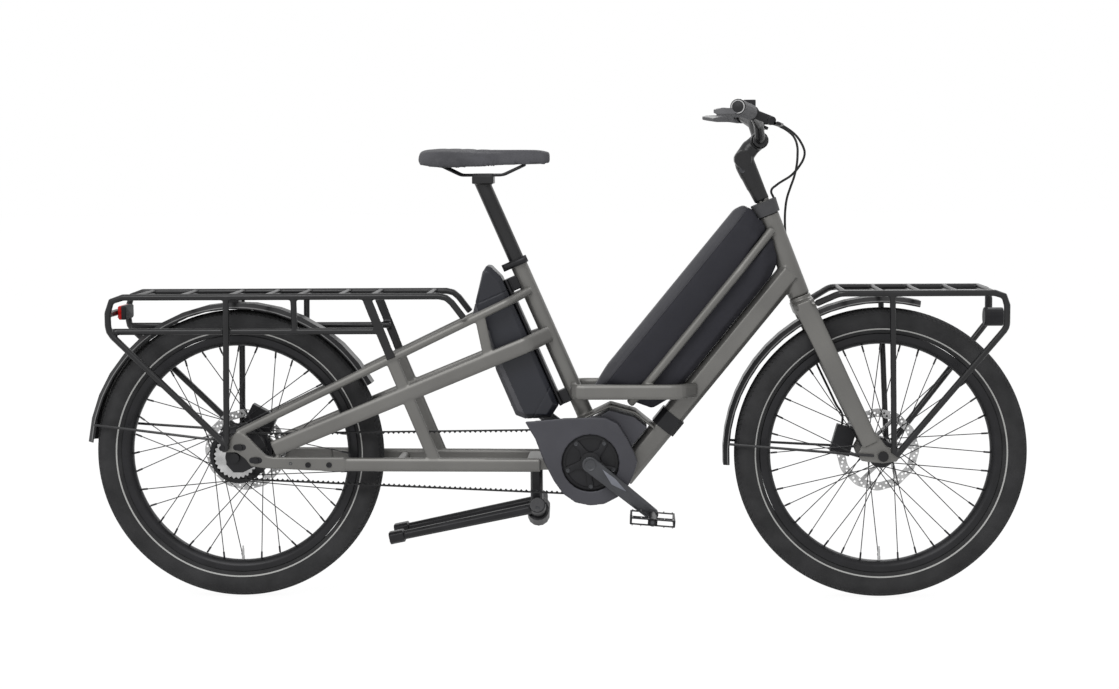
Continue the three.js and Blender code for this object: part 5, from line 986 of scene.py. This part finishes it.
def oblong(x, z, half_length, half_height):
    """Corners of a level slot: two half circles joined by straight runs."""
    corners = []
    for end in (1, -1):
        for i in range(ROUND_STEPS + 1):
            angle = math.pi * (i / ROUND_STEPS - 0.5) + (0 if end > 0 else math.pi)
            reach = end * (half_length - half_height) + half_height * math.cos(angle)
            corners.append((x + reach, z + half_height * math.sin(angle)))
    return corners


PLATE_SLOTS = [(13, 337), (47, 309)]
for hand, side in SIDES:
    carrier = bpy.data.objects[f"{hand}_rear_frame_welded"]
    inserts = []
    for x, z in PLATE_SLOTS:
        face = surface(carrier, x + 12, z, side).y / MM
        inserts.append(slab("slot", oblong(x, z, 14, 6.4), face - 0.4 * side, face + 0.7 * side, 0.3))
    inserts[0].name = f"{hand}_plate_slots"
    join_bike(joined(*inserts), "frame", "black_metal", moulded)
    bolts(f"{hand}_plate_bolts", f"{hand}_plate_slots", "frame", PLATE_SLOTS, 4.6, 2, side)

# %% [markdown]
# The crank arm carries a round cap, a thin four-cornered plate whose pale blue-grey is a painted
# highlight of the arm's flat face, and, at its far end, the pedal's axle. Behind it a spider with
# five arms and five bolts holds the toothed wheel.

# %% Cranks and spider
CRANK_X, CRANK_Z, CRANK_LENGTH, CRANK_TURN = 763, 301, 169, math.radians(-39)
CRANK_AXLE = at(CRANK_X, 0, CRANK_Z)


def on_arm(along, off, side=-1):
    """x and z of a place on a crank arm: along it from the axle, and off its middle line."""
    turn = CRANK_TURN if side < 0 else CRANK_TURN + math.pi
    x = CRANK_X + along * math.cos(turn) - off * math.sin(turn)
    return x, CRANK_Z + along * math.sin(turn) + off * math.cos(turn)


# The pale blue-grey plate on each arm is a painted highlight of the arm's flat face.
HIGHLIGHT_PANEL = [(26, 9), (60, 10.5), (96, 4), (62, -4)]
highlight_panel_grey = finish("highlight_panel_grey", (104, 106, 114), (122, 124, 132), (0.35, 0.5), 0.2, 30, 900, 2e-5)
for hand, side in SIDES:
    arm = bpy.data.objects[f"{hand}_crank_forged"]
    flip = 1 if side < 0 else -1
    corners = [on_arm(along, off * flip, side) for along, off in HIGHLIGHT_PANEL]
    face = surface(arm, *on_arm(60, 2 * flip, side), side).y / MM
    highlight_panel = slab(f"{hand}_crank_highlight_panel", corners, face - side * 0.6, face + side * 0.7, 0.3)
    join_bike(highlight_panel, "crankset", "black_metal", highlight_panel_grey)
    middle = [(CRANK_X, CRANK_Z)]
    bolts(f"{hand}_crank_cap", "right_crank_forged", "crankset", middle, 12, 2.4, side, crank_grey)
    bolts(f"{hand}_pedal_axle_end", arm.name, "crankset", [on_arm(CRANK_LENGTH, 0, side)], 7, 1.2, side)

SPIDER_ARMS, SPIDER_TURN, BOLT_CIRCLE = 5, 0.3, 51
ARM = [(12, -13), (30, -9), (46, -8), (58, -6), (58, 6), (46, 6), (34, 3), (14, 12)]
arm = slab("spider", [(CRANK_X + x, CRANK_Z + z) for x, z in ARM], -57, -63, 1.2)
angles = [i * TURN / SPIDER_ARMS + SPIDER_TURN for i in range(SPIDER_ARMS)]
there, back = Matrix.Translation(CRANK_AXLE), Matrix.Translation(-CRANK_AXLE)
spider = copies(arm, "spider", [there @ Matrix.Rotation(angle, 4, "Y") @ back for angle in angles])
ring = spun("spider_ring", [(54, -58), (54, -62), (60, -61), (60, -58)], CRANK_AXLE, 60)
hub_plate = spun("spider_hub", [(11, -57), (11, -66), (22, -64), (24, -57)], CRANK_AXLE, 48)
backing = spun("spider_back", [(20, -56), (20, -57.4), (59, -57.4), (59, -56)], CRANK_AXLE, 60)
spider = joined(spider, ring, hub_plate, backing)
tidy_mesh(spider)
crisp(spider, 30)
join_bike(spider, "crankset", "black_metal", black_metal)
places = [
    (CRANK_X + BOLT_CIRCLE * math.cos(angle), CRANK_Z - BOLT_CIRCLE * math.sin(angle))
    for angle in angles
]
bolts("spider_bolts", "spider", "crankset", places, 4.2, 2, -1, crank_grey)

# %% [markdown]
# A platform pedal is an open cage. Its sides are thin rails above and below two windows, its ends
# are plates, and a barrel on the axle joins them. Steel pins grip the sole.

# %% The pedals
def bar(name, size, place, bevel):
    """A straight bar with rounded edges, its size and place in millimetres from the pedal."""
    piece = block(name, size, place)
    edit(piece, "EDGE")
    bpy.ops.mesh.bevel(offset=bevel * MM, segments=2, affect="EDGES")
    done()
    return piece


PEDAL_LONG, PEDAL_WIDE, PEDAL_THICK, PEDAL_TILT = 96, 90, 15, 0.08
STUD, STUD_SUNK = 2.6, 0.4
for hand, side in SIDES:
    low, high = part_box(f"{hand}_pedal")
    middle = (low + high) / 2
    half_x, half_y = PEDAL_LONG / 2 - 3, PEDAL_WIDE / 2 - 3
    rail = PEDAL_THICK / 2 - 1.4
    cage = [bar("end", (4.5, PEDAL_WIDE, PEDAL_THICK), (x, 0, 0), 1.4) for x in (half_x, -half_x)]
    cage += [
        bar("rail", (PEDAL_LONG - 4, 6, 2.8), (0, y, z), 0.9)
        for y in (half_y, -half_y) for z in (rail, -rail)
    ]
    cage += [bar("middle", (20, 6, PEDAL_THICK), (0, y, 0), 1.6) for y in (half_y, -half_y)]
    turn = Matrix.Translation(middle) @ Matrix.Rotation(PEDAL_TILT, 4, "Y")
    pedal = joined(*cage, sideways("barrel", 8.4, PEDAL_WIDE, 24))
    pedal.data.transform(turn)
    crisp(pedal, 30)
    pedal.name = f"{hand}_pedal_cage"
    join_bike(pedal, f"{hand}_pedal_body", slots[f"{hand}_pedal"], black_metal, f"{hand}_pedal")
    above, below = PEDAL_THICK / 2 - STUD_SUNK, STUD_SUNK - PEDAL_THICK / 2 - STUD
    seats = [
        turn @ Matrix.Translation(Vector((x, y, z)) * MM)
        for x in (-42, -24, 24, 42) for y in (half_y, -half_y) for z in (above, below)
    ]
    pins = copies(rod("pin", 1.3, STUD, 8), f"{hand}_pedal_pins", seats)
    join_bike(pins, f"{hand}_pedal_body", "steel", bright_steel)

# %% [markdown]
# The battery is one moulded case. A grey rail runs down its rear edge, a cap closes its foot and a
# lid its head; fine grooves part them from the case.

# %% The battery
battery = copy_of("battery", "battery_case")
melt(battery, 1.7, 3)
foot = on_seat(0)
back_way = (on_seat(0, 1) - foot).normalized()
up_way = (on_seat(1) - foot).normalized()
RAIL_FROM, CAP_TO, LID_FROM = 117, 92, 318


def back_of(place):
    """How far behind the seat tube's middle line a place lies."""
    return (place - foot).dot(back_way) / MM


def up_of(place):
    """How far up the seat tube a place lies."""
    return (place - foot).dot(up_way) / MM


def cap_line(place):
    """How far above the slanting edge of the foot's cap a place lies."""
    return up_of(place) - CAP_TO + 0.75 * (back_of(place) - 43)


wear(battery, battery_case, rail_grey, lambda face: back_of(face.center) > RAIL_FROM)
groove(battery, lambda place: abs(back_of(place) - RAIL_FROM) < 1.1, 0.9)
groove(battery, lambda place: abs(cap_line(place)) < 1.2 and back_of(place) < RAIL_FROM, 0.9)
groove(battery, lambda place: abs(up_of(place) - LID_FROM) < 1.1 and back_of(place) < RAIL_FROM, 0.9)
join_bike(battery, "frame", "battery", None, "battery")

# %% [markdown]
# The grips have a broad wing for the heel of the hand, paler where it is broadest, and a hard cap
# with a pale ring at the end of the bar.

# %% The grips
BAR_MIDDLE = Vector((1124.1, 0, 983.4))
GRIP_END, GRIP_START = (-62, 330, 63), (-26, 185, 54)
CAP_OUTLINE = [
    (0.01, -1), (15.4, -1), (15.4, 2), (13.6, 3.4), (11.4, 3.2), (10.6, 2), (8, 2.4), (0.01, 2.8),
]
RING_FROM, RING_TO, WING_FROM = 11, 13.8, 34
wing_pale = finish("wing_pale", (150, 150, 150), (180, 180, 180), (0.6, 0.75), 0, 30, 700, 2e-4)
for hand, side in SIDES:
    grip = copy_of(f"{hand}_grip", f"{hand}_grip_rubber")
    melt(grip, 1.1, 6)
    end, start = [BAR_MIDDLE + Vector((x, side * y, z)) for x, y, z in (GRIP_END, GRIP_START)]
    line = (end - start).normalized()

    def on_wing(face):
        """Whether a face lies on the upper side of the wing's rear part."""
        far = face.center - at(*end)
        off = far - line * far.dot(line)
        return -off.x > WING_FROM * MM and face.normal.z > 0.2

    def on_ring(face):
        """Whether a face lies on the ring of the end cap."""
        return RING_FROM < (face.center - at(*end)).cross(line).length / MM < RING_TO

    wear(grip, grip_rubber, wing_pale, on_wing)
    join_bike(grip, "steering", slots[f"{hand}_grip"], None, f"{hand}_grip")
    turn = Vector((0, 1, 0)).rotation_difference(line).to_matrix().to_4x4()
    cap = spun_at(Matrix.Translation(at(*end)) @ turn, f"{hand}_grip_cap", CAP_OUTLINE, 40)
    wear(cap, black_metal, wing_pale, on_ring)
    join_bike(cap, "steering", "black_metal", None)

# %% [markdown]
# Two lamps and a display. The headlamp has a domed clear lens, and the tail lamp a red one with a
# black case in front of it. The display has a dark glass towards the rider.

# %% Lamps and display
glass = finish("dark_glass", (12, 13, 16), (20, 21, 25), (0.08, 0.14), 0, 20, 300, 1e-5)
clear_lens = finish("clear_lens", (196, 200, 204), (232, 235, 238), (0.08, 0.16), 0.1, 60, 300, 4e-4)
LENS_DEEP = 8
tail = copy_of("tail_lamp", "tail_lamp_case")
low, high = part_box("tail_lamp")
edit(tail, "EDGE")
bpy.ops.mesh.bevel(offset=3 * MM, segments=3, affect="EDGES")
bpy.ops.mesh.select_all(action="SELECT")
bpy.ops.mesh.bisect(plane_co=(low.x + LENS_DEEP * MM, 0, 0), plane_no=(1, 0, 0))
done()
pick(tail, lambda face: face.normal.x < -0.95)
bpy.ops.mesh.inset(thickness=2.5 * MM, depth=-1 * MM)
bpy.ops.mesh.inset(thickness=1.5 * MM, depth=1.8 * MM)
done()
crisp(tail, 40)
wear(tail, moulded, red_lens, lambda face: face.center.x < low.x + LENS_DEEP * MM)
join_bike(tail, "frame", "lens", None, "tail_lamp")

HEADLAMP_UP = 606
dress("headlamp", "case", moulded, 1, 3)
low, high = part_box("headlamp")
LENS_OUTLINE = [(0.01, 4), (9, 3.4), (14, 1.6), (16, 0), (16, -3), (0.01, -3)]
forwards = Matrix.Rotation(-math.pi / 2, 4, "Z")
lens_place = Matrix.Translation((high.x - MM, 0, HEADLAMP_UP * MM))
lens = spun_at(lens_place @ forwards, "headlamp_lens", LENS_OUTLINE, 40)
join_bike(lens, "steering", "lamp", clear_lens)

display = copy_of("display", "display_case")
melt(display, 1, 4)
low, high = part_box("display")
SCREEN_HIGH, SCREEN_EDGE = 26, 3


def on_screen(face):
    """Whether a face looks at the rider and lies inside the screen's edges."""
    x, y, z = face.center
    edge = min(high.z - z, z - high.z + SCREEN_HIGH * MM, high.y - y, y - low.y)
    return face.normal.x < -0.8 and edge > SCREEN_EDGE * MM


wear(display, moulded, glass, on_screen)
join_bike(display, "steering", slots["display"], None, "display")

# %% [markdown]
# The last touches that the eye looks for: the grey of the cover on the head tube, the bolts of the
# rack's feet and of the stand, and cords of piping on the bag.

# %% Last touches
RACK_FOOT, PLATE_HOLE, LEG_PIVOT = (-21.9, 337.7), (122, 302), (649, 202)
cover_grey = finish("cover_grey", (64, 64, 66), (80, 80, 82), (0.5, 0.62), 0, 18, 900, 5e-5)
wear(bpy.data.objects["headset_cover_machined"], cover_grey)
for hand, side in SIDES:
    bolts(f"{hand}_rack_foot_bolt", "rear_rack_bent", "frame", [RACK_FOOT], 6, 2.4, side)
    rear, leg = f"{hand}_rear_frame_welded", f"{hand}_stand_leg"
    bolts(f"{hand}_plate_hole", rear, "frame", [PLATE_HOLE], 3.6, 0.9, side, crank_grey)
    bolts(f"{hand}_leg_screw", f"{leg}_cast", bodies[leg], [LEG_PIVOT], 5, 1.6, side, crank_grey)


def cord_of(name, places, radius):
    """A thin round cord along a row of places, swept from a curve and turned into a mesh."""
    curve = bpy.data.curves.new(name, "CURVE")
    curve.dimensions = "3D"
    curve.bevel_depth = radius * MM
    curve.bevel_resolution = 2
    line = curve.splines.new("POLY")
    line.points.add(len(places) - 1)
    for point, place in zip(line.points, places):
        point.co = (*place, 1)
    alone(linked(name, curve))
    bpy.ops.object.convert(target="MESH")
    piece = bpy.context.object
    edit(piece, "EDGE", "DESELECT")
    bpy.ops.mesh.select_non_manifold()
    bpy.ops.mesh.fill()
    done()
    tidy_mesh(piece)
    bpy.ops.object.shade_smooth()
    return piece


# A ray meets the bag from its side at the band's lower edge, so the piping follows the swollen cloth.
lengths = [vertex.co.dot(along_tube) for vertex in bag.data.vertices]
bag_from, bag_to = min(lengths), max(lengths)
PIPING_STEPS, PIPING_FROM, PIPING_SPAN = 60, 0.04, 0.92
for hand, side in SIDES:
    places = []
    for i in range(PIPING_STEPS + 1):
        along = bag_from + (bag_to - bag_from) * (PIPING_FROM + PIPING_SPAN * i / PIPING_STEPS)
        start = along_tube * along + off_tube * (bag_top - BAND)
        start.y = side * 400 * MM
        hit, place, normal, _ = bag.ray_cast(start, Vector((0, -side, 0)))
        if hit:
            places.append(place + normal * 0.2 * MM)
    piping = cord_of(f"{hand}_bag_piping", places, 1.3)
    join_bike(piping, "frame", "fabric", band_cloth)
print("piping", len(places), "places")

# %% [markdown]
# The stem is one forging in an S: it leaves the head tube, leans back to a knee with a clamp bolt,
# and swings forward to the bar. Rods and balls along that line are joined to the solid, and one
# voxel skin melts them together.

# %% The stem
STEER_FOOT, STEER_LEAN = Vector((1214.3, 643)), math.radians(68.8)


def on_steer(up, ahead):
    """A place by the steering axis, in millimetres up it and ahead of it."""
    x = STEER_FOOT.x - up * math.cos(STEER_LEAN) + ahead * math.sin(STEER_LEAN)
    return at(x, 0, STEER_FOOT.y + up * math.sin(STEER_LEAN) + ahead * math.cos(STEER_LEAN))


S_LINE = [
    (231, -1, 16.5), (262, -5, 17.5), (290, -8, 18.5), (312, -10, 19.5), (329, -3, 19), (341, 14, 18),
    (349, 36, 17),
]
limbs = []
for (up, ahead, radius), (next_up, next_ahead, _) in zip(S_LINE, S_LINE[1:]):
    foot, head = on_steer(up, ahead), on_steer(next_up, next_ahead)
    limb = rod("limb", radius, (head - foot).length / MM, 32)
    limb.data.transform(laid(foot, head))
    bpy.ops.mesh.primitive_uv_sphere_add(segments=32, ring_count=16, radius=radius * MM)
    ball = bpy.context.object
    ball.data.transform(Matrix.Translation(head))
    limbs += [limb, ball]
stem = joined(copy_of("stem", "stem_forging"), *limbs)
melt(stem, 1.6, 8)
join_bike(stem, "steering", slots["stem"], rack_paint, "stem")
bolts("stem_knee_bolt", "stem_forging", "steering", [(1087, 921)], 6, 2.4, -1, crank_grey)

# %% [markdown]
# The last cell shows the size of the model and of its dressed form.

# %% Sizes and the end
boxes = {"cad": cad_box, "visual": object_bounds()}
{k: [list(corner) for corner in v] for k, v in boxes.items()}
